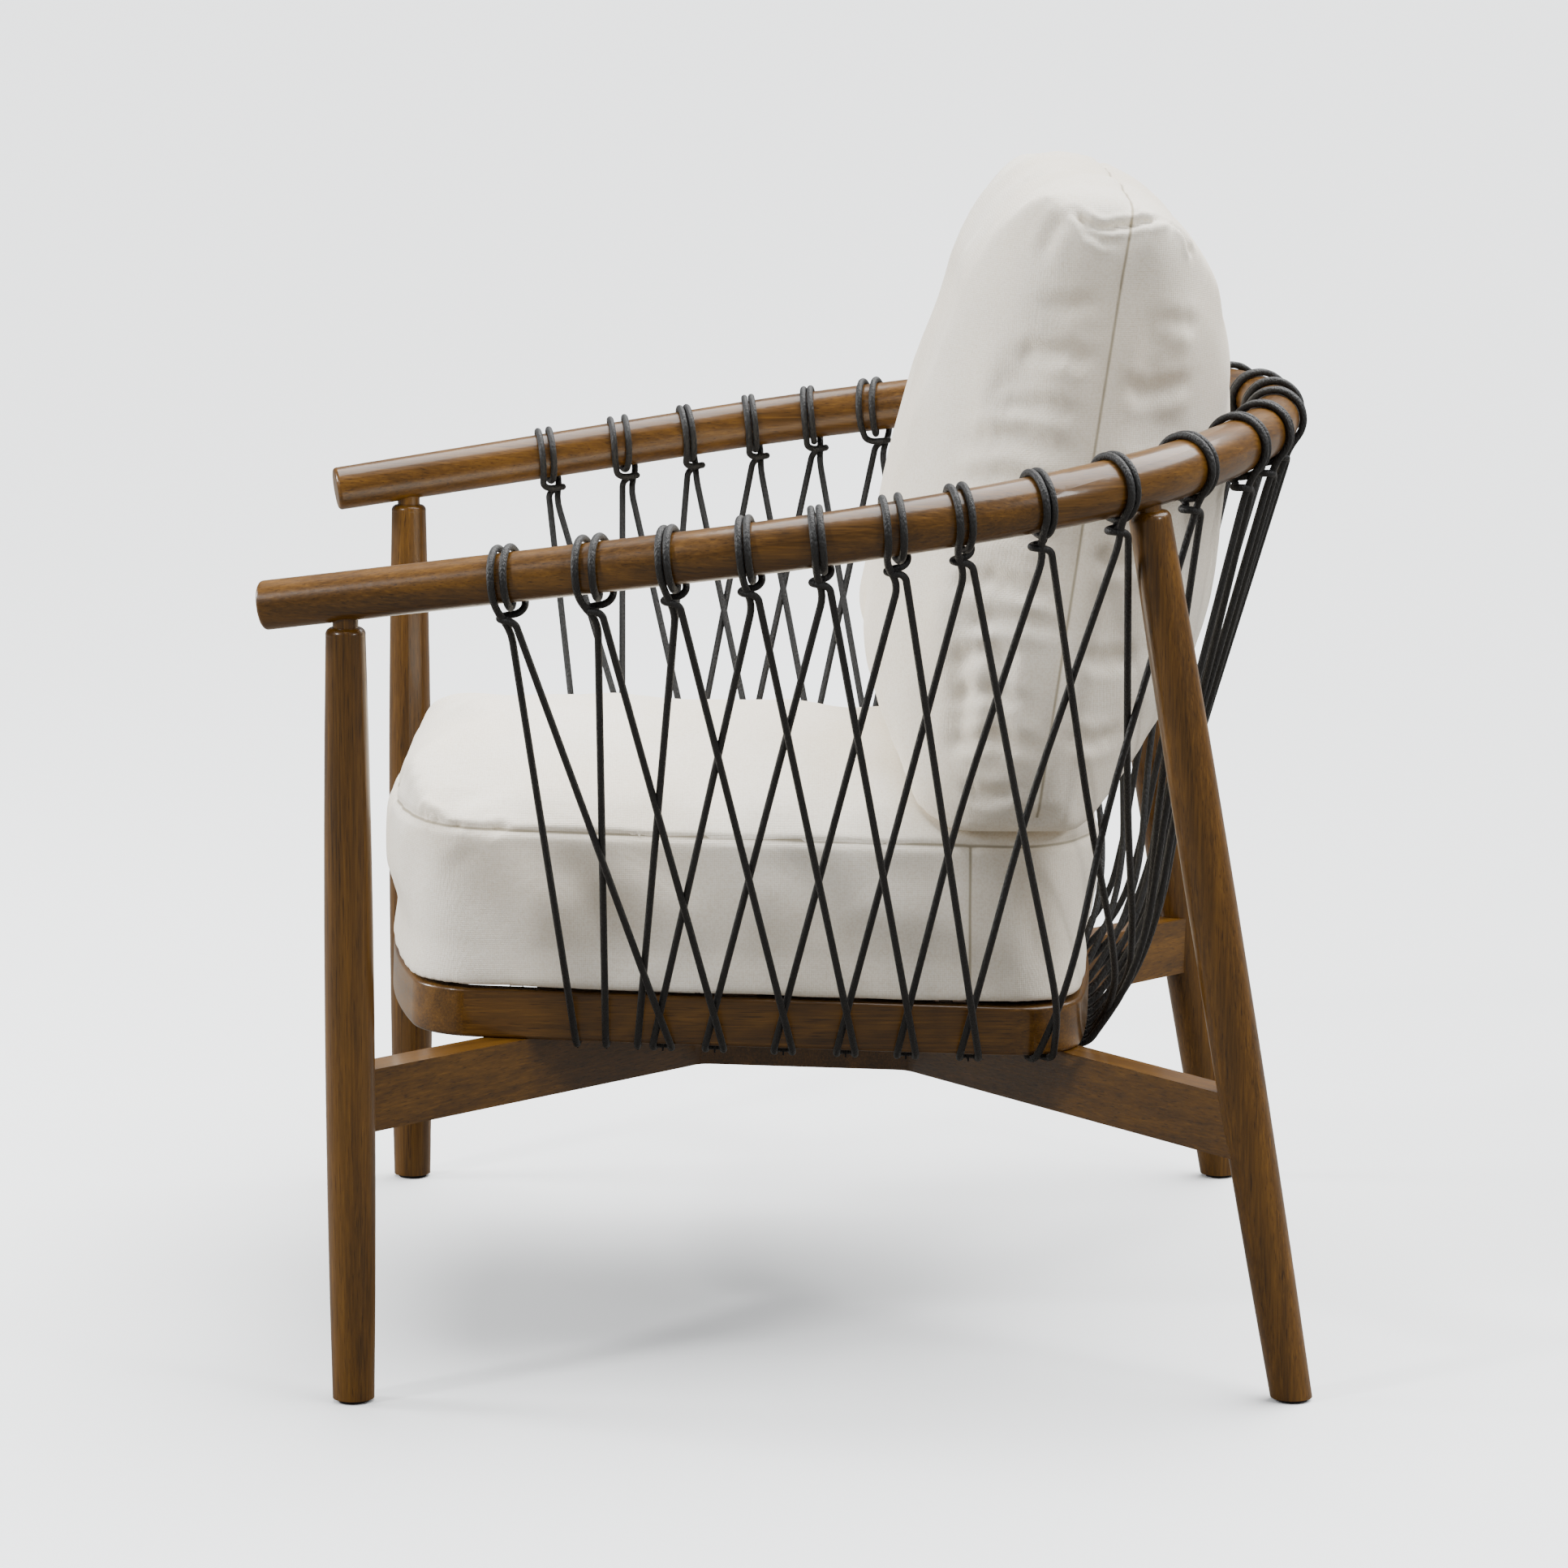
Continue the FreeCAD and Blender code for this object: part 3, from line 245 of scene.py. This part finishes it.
finish_with(walnut("walnut_front_legs", "Z", 0.0), "front_left_leg", "front_right_leg")
finish_with(walnut("walnut_rear_legs", "Z", 2.3), "rear_left_leg", "rear_right_leg")
finish_with(walnut("walnut_arms", "Y", 4.1), "left_arm_rail", "right_arm_rail")
finish_with(walnut("walnut_bent_back", "bend", 5.7), "back_rail")
finish_with(walnut("walnut_boards", "boards", 7.9), "left_stretcher", "right_stretcher")
finish_with(walnut("walnut_seat_sides", "Y", 9.2), "seat_left_rail", "seat_right_rail")
finish_with(walnut("walnut_seat_ends", "X", 11.4), "seat_front_rail", "seat_rear_rail", "stretcher_tie")
print("walnut on the wooden pieces")

# %% [markdown]
# Dowels are raw beech, pale with tiny flecks. Screws are zinc-plated steel, staples blackened
# steel wire, and the glides under the feet black moulded polyethylene with a fine grain.


# %% Small fittings
def beech():
    material, shader = new_material("raw_beech")
    place = add(material, "TexCoord").outputs["Object"]
    flecks = add(material, "TexNoise", {"Vector": place, "Scale": 900.0, "Detail": 2.0}).outputs[0]
    link(material, ramp(material, flecks, [(0.35, "b98f62"), (0.65, "d8b488")]), shader, "Base Color")
    shader.inputs["Roughness"].default_value = 0.6
    return material


def steel(name, code, rough):
    material, shader = new_material(name)
    place = add(material, "TexCoord").outputs["Object"]
    haze = add(material, "TexNoise", {"Vector": place, "Scale": 400.0, "Detail": 3.0}).outputs[0]
    spread = add(material, "MapRange", {"Value": haze, "To Min": rough - 0.08, "To Max": rough + 0.1})
    link(material, spread.outputs[0], shader, "Roughness")
    shader.inputs["Base Color"].default_value = colour(code)
    shader.inputs["Metallic"].default_value = 1.0
    return material


def polyethylene():
    material, shader = new_material("moulded_polyethylene")
    place = add(material, "TexCoord").outputs["Object"]
    grit = add(material, "TexNoise", {"Vector": place, "Scale": 1500.0}).outputs[0]
    bump = add(material, "Bump", {"Strength": 0.3, "Distance": 0.0002, "Height": grit}).outputs[0]
    link(material, bump, shader, "Normal")
    shader.inputs["Base Color"].default_value = colour("1b1b1a")
    shader.inputs["Roughness"].default_value = 0.5
    return material


finish_with(beech(), "rail_dowels", "seat_frame_dowels", "tie_dowels")
finish_with(steel("zinc_plated_steel", "b8b9ba", 0.35), "seat_frame_screws")
finish_with(steel("blackened_steel_wire", "2a2a2b", 0.45), "webbing_staples", "lacing_staples")
finish_with(polyethylene(), "leg_glides")
print("fittings done")

# %% [markdown]
# Under the seat cushion lies woven jute webbing: flat bands with ribs about 5 mm apart.
# The lacing is braided black cord, 5 mm thick. Cells about 1.1 mm wide and 2.6 mm high, drawn as
# bumps, stand for the strands that catch the light; each cell is also painted darker towards its
# edge, as painted shade in the gaps between strands.


# %% Webbing and cord
def webbing(name, across):
    """Jute band whose ribs run along it; across is the axis over its width."""
    material, shader = new_material(name)
    place = add(material, "TexCoord").outputs["Object"]
    ribs = add(material, "TexWave", {"Vector": place, "Scale": 64.0, "Distortion": 0.4, "Detail": 1.0},
               bands_direction=across).outputs["Fac"]
    fibre = add(material, "TexNoise", {"Vector": place, "Scale": 700.0, "Detail": 4.0}).outputs[0]
    tone = ramp(material, fibre, [(0.3, "2c241c"), (0.7, "57493a")])
    link(material, tone, shader, "Base Color")
    bump = add(material, "Bump", {"Strength": 0.8, "Distance": 0.0008, "Height": ribs}).outputs[0]
    bump = add(material, "Bump", {"Strength": 0.4, "Distance": 0.0004, "Height": fibre, "Normal": bump})
    link(material, bump.outputs[0], shader, "Normal")
    shader.inputs["Roughness"].default_value = 0.9
    return material


def braided_cord():
    material, shader = new_material("braided_black_cord")
    place = add(material, "TexCoord").outputs["Object"]
    upright = add(material, "Mapping", {"Vector": place, "Rotation": (0.5, 0.4, 0.0),
                                        "Scale": (900, 900, 380)}).outputs[0]
    cells = add(material, "TexVoronoi", {"Vector": upright, "Scale": 1.0}).outputs["Distance"]
    fibre = add(material, "TexNoise", {"Vector": place, "Scale": 1800.0, "Detail": 3.0}).outputs[0]
    # painted shade: each cell darkens towards its edge, in the gaps between strands
    tone = ramp(material, cells, [(0.1, "161514"), (0.7, "070707")])
    link(material, tone, shader, "Base Color")
    bump = add(material, "Bump", {"Strength": 0.8, "Distance": 0.0006, "Height": cells}, invert=True)
    bump = bump.outputs[0]
    bump = add(material, "Bump", {"Strength": 0.3, "Distance": 0.0002, "Height": fibre, "Normal": bump})
    link(material, bump.outputs[0], shader, "Normal")
    shader.inputs["Roughness"].default_value = 0.55
    shader.inputs["Sheen Weight"].default_value = 0.05
    shader.inputs["Sheen Roughness"].default_value = 0.5
    return material


finish_with(webbing("jute_webbing_long", "X"), "webbing_long_straps")
finish_with(webbing("jute_webbing_cross", "Y"), "webbing_cross_straps")
finish_with(braided_cord(), "lacing_cord_first", "lacing_cord_second", "lacing_cord_third")
print("webbing and cord done")

# %% [markdown]
# The cushions are made by cloth simulation. Each starts as a copy of the CAD filling, rebuilt with
# even 6 mm squares, and is blown up gently like a balloon: the cloth solver rounds the broad faces
# and leaves soft unevenness that no formula gives. How far a point may move is capped, because the
# frame and the lacing hold a real cushion in shape, and the underside is held flat on its support.
# A light smoothing and one subdivision leave a mesh that is fine enough for folds.


# %% Blow up the cushions
SQUARE = 0.006
LAST_FRAME = 20


def points_of(piece):
    flat = np.empty(len(piece.data.vertices) * 3)
    piece.data.vertices.foreach_get("co", flat)
    return flat.reshape(-1, 3)


def normals_of(piece):
    flat = np.empty(len(piece.data.vertices) * 3)
    piece.data.vertices.foreach_get("normal", flat)
    return flat.reshape(-1, 3)


def put_points(piece, points):
    piece.data.vertices.foreach_set("co", points.ravel())
    piece.data.update()


def blown_up(source, name, pressure, cap):
    """Copy of a CAD filling, remeshed and inflated; returns the object."""
    bpy.ops.object.select_all(action="DESELECT")
    mesh = nodes[source].data.copy()
    mesh.transform(nodes[source].matrix_world)
    piece = bpy.data.objects.new(name, mesh)
    bpy.context.collection.objects.link(piece)
    bpy.context.view_layer.objects.active = piece
    piece.select_set(True)
    bpy.ops.object.mode_set(mode="EDIT")
    bpy.ops.mesh.select_all(action="SELECT")
    bpy.ops.mesh.remove_doubles(threshold=0.0002)
    bpy.ops.object.mode_set(mode="OBJECT")
    squares = piece.modifiers.new("squares", "REMESH")
    squares.mode = "VOXEL"
    squares.voxel_size = SQUARE
    bpy.ops.object.modifier_apply(modifier=squares.name)
    start = points_of(piece)
    normals = normals_of(piece)
    cloth = piece.modifiers.new("cloth", "CLOTH")
    settings = cloth.settings
    settings.use_pressure = True
    settings.uniform_pressure_force = pressure
    settings.effector_weights.gravity = 0
    settings.mass = 0.25
    settings.tension_stiffness = settings.compression_stiffness = 20
    settings.bending_stiffness = 0.6
    for frame_number in range(1, LAST_FRAME + 1):
        bpy.context.scene.frame_set(frame_number)
    bpy.ops.object.modifier_apply(modifier=cloth.name)
    move = points_of(piece) - start
    length = np.linalg.norm(move, axis=1, keepdims=True) + 1e-9
    move *= np.minimum(1.0, cap / length)
    move *= np.clip((normals[:, 2:3] + 0.7) / 0.4, 0.0, 1.0)
    put_points(piece, start + move)
    calmer = piece.modifiers.new("calmer", "SMOOTH")
    calmer.factor, calmer.iterations = 0.5, 6
    bpy.ops.object.modifier_apply(modifier=calmer.name)
    finer = piece.modifiers.new("finer", "SUBSURF")
    finer.levels = 1
    bpy.ops.object.modifier_apply(modifier=finer.name)
    bpy.ops.object.shade_smooth()
    pushed = round(float(length.max()), 4)
    print(name, "pushed", pushed, "m before the cap, points", len(piece.data.vertices))
    return piece


seat_cushion = blown_up("seat_cushion_foam", "soft_seat_cushion", 3.0, 0.005)
back_cushion = blown_up("back_cushion_fill", "soft_back_cushion", 4.0, 0.010)

# %% [markdown]
# Seams and wrinkles come after the simulation. A stroke is a short curve on the cushion; points
# near it sink along their normals and rise a little at both sides, and it fades at its ends, as if
# drawn with a soft tool. Every stroke is mirrored to the other side with a small change, since
# nobody sits in the middle for ever.


# %% Strokes and seams
SHOULDER = 0.35  # how far the sides of a stroke rise, as part of its depth


def smooth_curve(corners, count=16):
    """Points on a Catmull-Rom curve through the corners."""
    line = np.array(corners, float)
    line = np.vstack([2 * line[0] - line[1], line, 2 * line[-1] - line[-2]])
    spots = []
    for a, b, c, d in zip(line, line[1:], line[2:], line[3:]):
        for t in np.linspace(0, 1, count, endpoint=False):
            spots.append(0.5 * (2 * b + (c - a) * t + (2 * a - 5 * b + 4 * c - d) * t**2
                                + (3 * b - a - 3 * c + d) * t**3))
    return np.array(spots)


def stroke(points, normals, corners, width, depth, sideways):
    """Sinks points near a curve and lifts its shoulders; depth and width in metres.

    The curve is first laid on the nearest points of the cushion, or on those straight
    behind it when it is drawn sideways."""
    spots = smooth_curve(corners)
    scale, facing = np.array([1.0, 1.0, 1.0]), np.arange(len(points))
    if sideways:
        scale = np.array([0.05, 1.0, 1.0])
        facing = np.where(normals[:, 0] * np.sign(spots[0, 0]) > 0.12)[0]
    found = [(((points[facing] - spot) * scale) ** 2).sum(1).argmin() for spot in spots]
    spots = points[facing[found]]
    spots[1:-1] = (spots[:-2] + spots[1:-1] + spots[2:]) / 3
    low, high = spots.min(0) - 4 * width, spots.max(0) + 4 * width
    near = np.where(((points > low) & (points < high)).all(1))[0]
    if not len(near):
        return
    gaps = np.linalg.norm(points[near][:, None, :] - spots[None, :, :], axis=2)
    along = gaps.argmin(1) / (len(spots) - 1)
    gap = gaps.min(1) / width
    fade = np.clip(np.sin(np.pi * np.clip(along, 0.02, 0.98)) * 1.6, 0, 1)
    shape = -np.exp(-(gap**2)) + SHOULDER * np.exp(-((gap - 2.0) ** 2))
    points[near] += normals[near] * (shape * fade * depth)[:, None]


def groove(points, normals, signed, mask, width, depth):
    """Narrow dip where a signed distance is near zero."""
    points += normals * (-depth * np.exp(-((signed / width) ** 2)) * mask)[:, None]


def store(piece, name, values):
    """Saves one number per point for the material to read."""
    attribute = piece.data.attributes.new(name, "FLOAT", "POINT")
    attribute.data.foreach_set("value", np.ascontiguousarray(values, dtype=np.float32))


def where_sewn(signed, mask, limit):
    """The signed distance, moved a metre away where there is no seam."""
    return signed + (1 - (mask > limit)) * 1.0


def waves(points, seed, scale):
    """Slow unevenness, mostly between -1 and 1, from a few sines with unrelated directions."""
    random = np.random.default_rng(seed)
    total = np.zeros(len(points))
    for _ in range(7):
        total += np.sin(points @ (random.normal(size=3) * 2 * np.pi / scale) + random.uniform(0, 6.28))
    return total / 4


def smooth_step(low, high, values):
    """0 at low, 1 at high, with soft ends; low may be the larger."""
    t = np.clip((values - low) / (high - low), 0, 1)
    return t * t * (3 - 2 * t)


# seat: heights at y = 0 with their falls per metre towards the rear, and the y of the end seam
FRAME_TOP, FRAME_FALL = 0.2674, 0.0333
TOP_SEAM, TOP_SEAM_FALL, END_SEAM = 0.3845, 0.033, 0.122
# back: the edge seam starts at this height and y, and leans back by this much per metre
EDGE_START, EDGE_FOOT, EDGE_LEAN = 0.400, 0.169, 0.149

# each stroke: points on the left side, width, depth
SEAT_STROKES = [
    # puckers above the side seam, near the front
    ([(0.236, -0.330, 0.399), (0.232, -0.322, 0.412)], 0.0035, 0.0022),
    ([(0.240, -0.305, 0.398), (0.235, -0.300, 0.414)], 0.0035, 0.0026),
    ([(0.241, -0.286, 0.398), (0.236, -0.280, 0.411)], 0.0030, 0.0020),
    ([(0.242, -0.262, 0.397), (0.237, -0.252, 0.412)], 0.0035, 0.0022),
    ([(0.243, -0.225, 0.395), (0.238, -0.214, 0.409)], 0.0035, 0.0018),
    # slack drawn in under the seam
    ([(0.244, -0.270, 0.378), (0.246, -0.240, 0.345), (0.244, -0.195, 0.300)], 0.018, 0.0024),
    ([(0.244, -0.180, 0.378), (0.246, -0.150, 0.340), (0.244, -0.110, 0.288)], 0.015, 0.0024),
    ([(0.244, -0.020, 0.380), (0.246, 0.020, 0.335), (0.244, 0.050, 0.285)], 0.016, 0.0024),
    ([(0.242, 0.150, 0.372), (0.243, 0.170, 0.330), (0.240, 0.185, 0.280)], 0.011, 0.0030),
    # in front of the back cushion the top dips
    ([(0.235, 0.020, 0.395), (0.150, 0.030, 0.425), (0.020, 0.035, 0.440)], 0.020, 0.0030),
    ([(0.225, -0.060, 0.402), (0.140, -0.075, 0.428), (0.060, -0.090, 0.440)], 0.026, 0.0026),
    ([(0.215, -0.235, 0.412), (0.120, -0.215, 0.434), (0.030, -0.230, 0.440)], 0.028, 0.0022),
]

BACK_STROKES = [
    # level folds on the side that faces the arm, before the seam
    ([(0.262, 0.165, 0.773), (0.262, 0.190, 0.770), (0.262, 0.213, 0.776)], 0.0060, 0.0022),
    ([(0.262, 0.150, 0.733), (0.262, 0.182, 0.736), (0.262, 0.212, 0.730)], 0.0065, 0.0032),
    ([(0.262, 0.135, 0.694), (0.262, 0.165, 0.699), (0.262, 0.200, 0.692)], 0.0060, 0.0030),
    ([(0.262, 0.112, 0.668), (0.262, 0.150, 0.675), (0.262, 0.197, 0.664)], 0.0070, 0.0036),
    ([(0.262, 0.105, 0.640), (0.262, 0.150, 0.646), (0.262, 0.192, 0.634)], 0.0060, 0.0030),
    ([(0.262, 0.110, 0.602), (0.262, 0.145, 0.610), (0.262, 0.188, 0.600)], 0.0070, 0.0034),
    ([(0.262, 0.104, 0.566), (0.262, 0.140, 0.573), (0.262, 0.182, 0.560)], 0.0060, 0.0036),
    ([(0.262, 0.118, 0.540), (0.262, 0.150, 0.546), (0.262, 0.190, 0.538)], 0.0055, 0.0036),
    ([(0.262, 0.108, 0.514), (0.262, 0.132, 0.522), (0.262, 0.160, 0.516)], 0.0055, 0.0036),
    ([(0.262, 0.106, 0.486), (0.262, 0.135, 0.493), (0.262, 0.164, 0.482)], 0.0055, 0.0034),
    ([(0.262, 0.104, 0.452), (0.262, 0.140, 0.460), (0.262, 0.176, 0.450)], 0.0055, 0.0036),
    ([(0.262, 0.112, 0.425), (0.262, 0.134, 0.418), (0.262, 0.158, 0.424)], 0.0050, 0.0040),
    ([(0.262, 0.150, 0.410), (0.262, 0.168, 0.402), (0.262, 0.186, 0.408)], 0.0045, 0.0036),
    # the same behind the seam
    ([(0.262, 0.252, 0.762), (0.262, 0.270, 0.757), (0.262, 0.286, 0.752)], 0.0060, 0.0024),
    ([(0.262, 0.228, 0.712), (0.262, 0.252, 0.707), (0.262, 0.284, 0.714)], 0.0065, 0.0034),
    ([(0.262, 0.216, 0.655), (0.262, 0.240, 0.649), (0.262, 0.270, 0.655)], 0.0065, 0.0034),
    ([(0.262, 0.208, 0.590), (0.262, 0.232, 0.584), (0.262, 0.262, 0.592)], 0.0065, 0.0034),
    ([(0.262, 0.198, 0.520), (0.262, 0.220, 0.514), (0.262, 0.245, 0.520)], 0.0060, 0.0034),
    ([(0.262, 0.192, 0.462), (0.262, 0.212, 0.456), (0.262, 0.232, 0.462)], 0.0055, 0.0034),
    # upright dents where the filling parts
    ([(0.262, 0.112, 0.535), (0.262, 0.116, 0.490), (0.262, 0.110, 0.440)], 0.0080, 0.0034),
    ([(0.262, 0.144, 0.530), (0.262, 0.141, 0.485), (0.262, 0.146, 0.435)], 0.0075, 0.0034),
    # the corner folded over at the top: a crease across the seam and one down each side of it
    ([(0.258, 0.192, 0.838), (0.258, 0.210, 0.826), (0.258, 0.236, 0.830), (0.258, 0.268, 0.834)],
     0.0030, 0.0060),
    ([(0.258, 0.194, 0.838), (0.258, 0.203, 0.822), (0.258, 0.226, 0.814)], 0.0032, 0.0046),
    ([(0.258, 0.264, 0.836), (0.258, 0.273, 0.820), (0.258, 0.280, 0.800)], 0.0034, 0.0040),
    ([(0.250, 0.186, 0.834), (0.250, 0.176, 0.820), (0.250, 0.170, 0.800)], 0.0060, 0.0026),
]


def both_sides(piece, strokes, strength, sideways):
    """Draws every stroke on the left, and a slightly moved copy on the right."""
    points, normals = points_of(piece), normals_of(piece)
    for corners, width, depth in strokes:
        stroke(points, normals, corners, width, depth * strength, sideways)
        other = [(-x, y + 0.006, z - 0.005) for x, y, z in corners]
        stroke(points, normals, other, width * 1.1, depth * strength * 0.85, sideways)
    return points, normals


def ripple(points, normals, seed, scale, height, low, high):
    """Adds slow unevenness, coming in between two heights."""
    amount = height * waves(points, seed, scale) * smooth_step(low, high, points[:, 2])
    points += normals * amount[:, None]


def shape_seat(piece):
    """Strokes, a fuller hem on the frame, the seam round the top and the one down each side."""
    points, normals = both_sides(piece, SEAT_STROKES, 1.2, False)
    height = points[:, 2] - (FRAME_TOP - FRAME_FALL * points[:, 1])
    level = np.linalg.norm(normals[:, :2], axis=1) * smooth_step(0.034, 0.006, height)
    points[:, :2] += normals[:, :2] * (0.004 * level)[:, None]
    points[:, 2] -= np.clip(height - 0.0020, 0, 0.005) * level
    ripple(points, normals, 3, 0.22, 0.0012, 0.30, 0.36)
    top_seam = points[:, 2] - (TOP_SEAM - TOP_SEAM_FALL * points[:, 1])
    end_seam = points[:, 1] - END_SEAM
    on_side = smooth_step(0.222, 0.236, np.abs(points[:, 0])) * (top_seam < 0.001)
    upright_wall = smooth_step(0.75, 0.45, np.abs(normals[:, 2]))
    groove(points, normals, top_seam, upright_wall, 0.0032, 0.0028)
    groove(points, normals, end_seam, on_side, 0.0030, 0.0024)
    put_points(piece, points)
    store(piece, "seam_a", where_sewn(top_seam, upright_wall, 0.3))
    store(piece, "seam_b", where_sewn(end_seam, on_side, 0.3))


def shape_back(piece):
    """Lower corners sag, the top is drawn up and back, then strokes and the seam round the edge."""
    points = points_of(piece)
    sag = smooth_step(0.18, 0.24, np.abs(points[:, 0])) * smooth_step(0.475, 0.405, points[:, 2])
    higher = 0.017 * smooth_step(0.62, 0.84, points[:, 2])
    back = 0.020 * smooth_step(0.46, 0.80, points[:, 2])
    points[:, 1] += back * smooth_step(0.21, 0.09, points[:, 1])
    points[:, 2] += higher - 0.013 * sag
    put_points(piece, points)
    points, normals = both_sides(piece, BACK_STROKES, 0.9, True)
    ripple(points, normals, 8, 0.13, 0.0016, 0.46, 0.50)
    edge_seam = points[:, 1] - (EDGE_FOOT + EDGE_LEAN * (points[:, 2] - EDGE_START))
    rim = smooth_step(0.205, 0.235, np.abs(points[:, 0]))
    rim = np.maximum(rim, smooth_step(0.80, 0.83, points[:, 2])) * (points[:, 2] > EDGE_START)
    groove(points, normals, edge_seam, rim, 0.0032, 0.0030)
    put_points(piece, points)
    store(piece, "seam_a", where_sewn(edge_seam, rim, 0.2))
    store(piece, "seam_b", np.ones(len(points)))


shape_seat(seat_cushion)
shape_back(back_cushion)
print("seams and strokes drawn")

# %% [markdown]
# The covers are a plain off-white weave with ribs 1.4 mm apart. Wave patterns along the three axes
# give the ribs, a fine noise adds specks and small bumps, and a slow noise tints the cloth. The
# stored distances draw painted shade in each seam's groove: a darker line, full over 0.8 mm and
# gone 1.6 mm from its middle.


# %% Cushion cloth
def painted_seam_shade(material, name):
    # painted shade in the seam's groove: full near the middle of the seam, fading out 1.6 mm away
    distance = add(material, "Attribute", attribute_name=name).outputs["Fac"]
    far = add(material, "Math", {0: distance}, operation="ABSOLUTE").outputs[0]
    line = add(material, "MapRange", {"Value": far, "From Min": 0.0004, "From Max": 0.0016,
                                      "To Min": 1.0, "To Max": 0.0})
    return line.outputs[0]


def cushion_cloth():
    material, shader = new_material("offwhite_woven_cotton")
    place = add(material, "TexCoord").outputs["Object"]
    threads = []
    for axis in ("X", "Y", "Z"):
        wave = add(material, "TexWave", {"Vector": place, "Scale": 225.0, "Distortion": 0.6, "Detail": 1.0},
                   bands_direction=axis)
        threads.append(wave.outputs["Fac"])
    crossed = add(material, "Math", {0: threads[0], 1: threads[1]}, operation="ADD").outputs[0]
    crossed = add(material, "Math", {0: crossed, 1: threads[2]}, operation="ADD").outputs[0]
    slubs = add(material, "TexNoise", {"Vector": place, "Scale": 600.0, "Detail": 3.0}).outputs[0]
    slow = add(material, "TexNoise", {"Vector": place, "Scale": 7.0, "Detail": 2.0}).outputs[0]
    tint = ramp(material, slow, [(0.35, "f7eedd"), (0.65, "fcf6e9")])
    speck = ramp(material, slubs, [(0.30, "e6ded1"), (0.60, "ffffff")])
    cloth = add(material, "MixRGB", {"Fac": 0.5, "Color1": tint, "Color2": speck}, blend_type="MULTIPLY")
    cloth = cloth.outputs[0]
    # painted shade along each seam's groove, as a darker line
    for name in ("seam_a", "seam_b"):
        dark = {"Fac": painted_seam_shade(material, name), "Color1": cloth, "Color2": colour("b3a892")}
        cloth = add(material, "MixRGB", dark).outputs[0]
    link(material, cloth, shader, "Base Color")
    bump = add(material, "Bump", {"Strength": 0.25, "Distance": 0.0003, "Height": crossed}).outputs[0]
    bump = add(material, "Bump", {"Strength": 0.25, "Distance": 0.0003, "Height": slubs, "Normal": bump})
    link(material, bump.outputs[0], shader, "Normal")
    shader.inputs["Roughness"].default_value = 0.85
    shader.inputs["Sheen Weight"].default_value = 0.12
    shader.inputs["Sheen Roughness"].default_value = 0.5
    return material


cloth = cushion_cloth()
for piece, part, filling, fill in ((seat_cushion, "seat_cushion", "_foam", 0.95),
                                   (back_cushion, "back_cushion", "_fill", 0.7)):
    piece.data.materials.clear()
    piece.data.materials.append(cloth)
    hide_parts(part + "_cover", part + filling)
    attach(piece, part)
print("cushions covered")
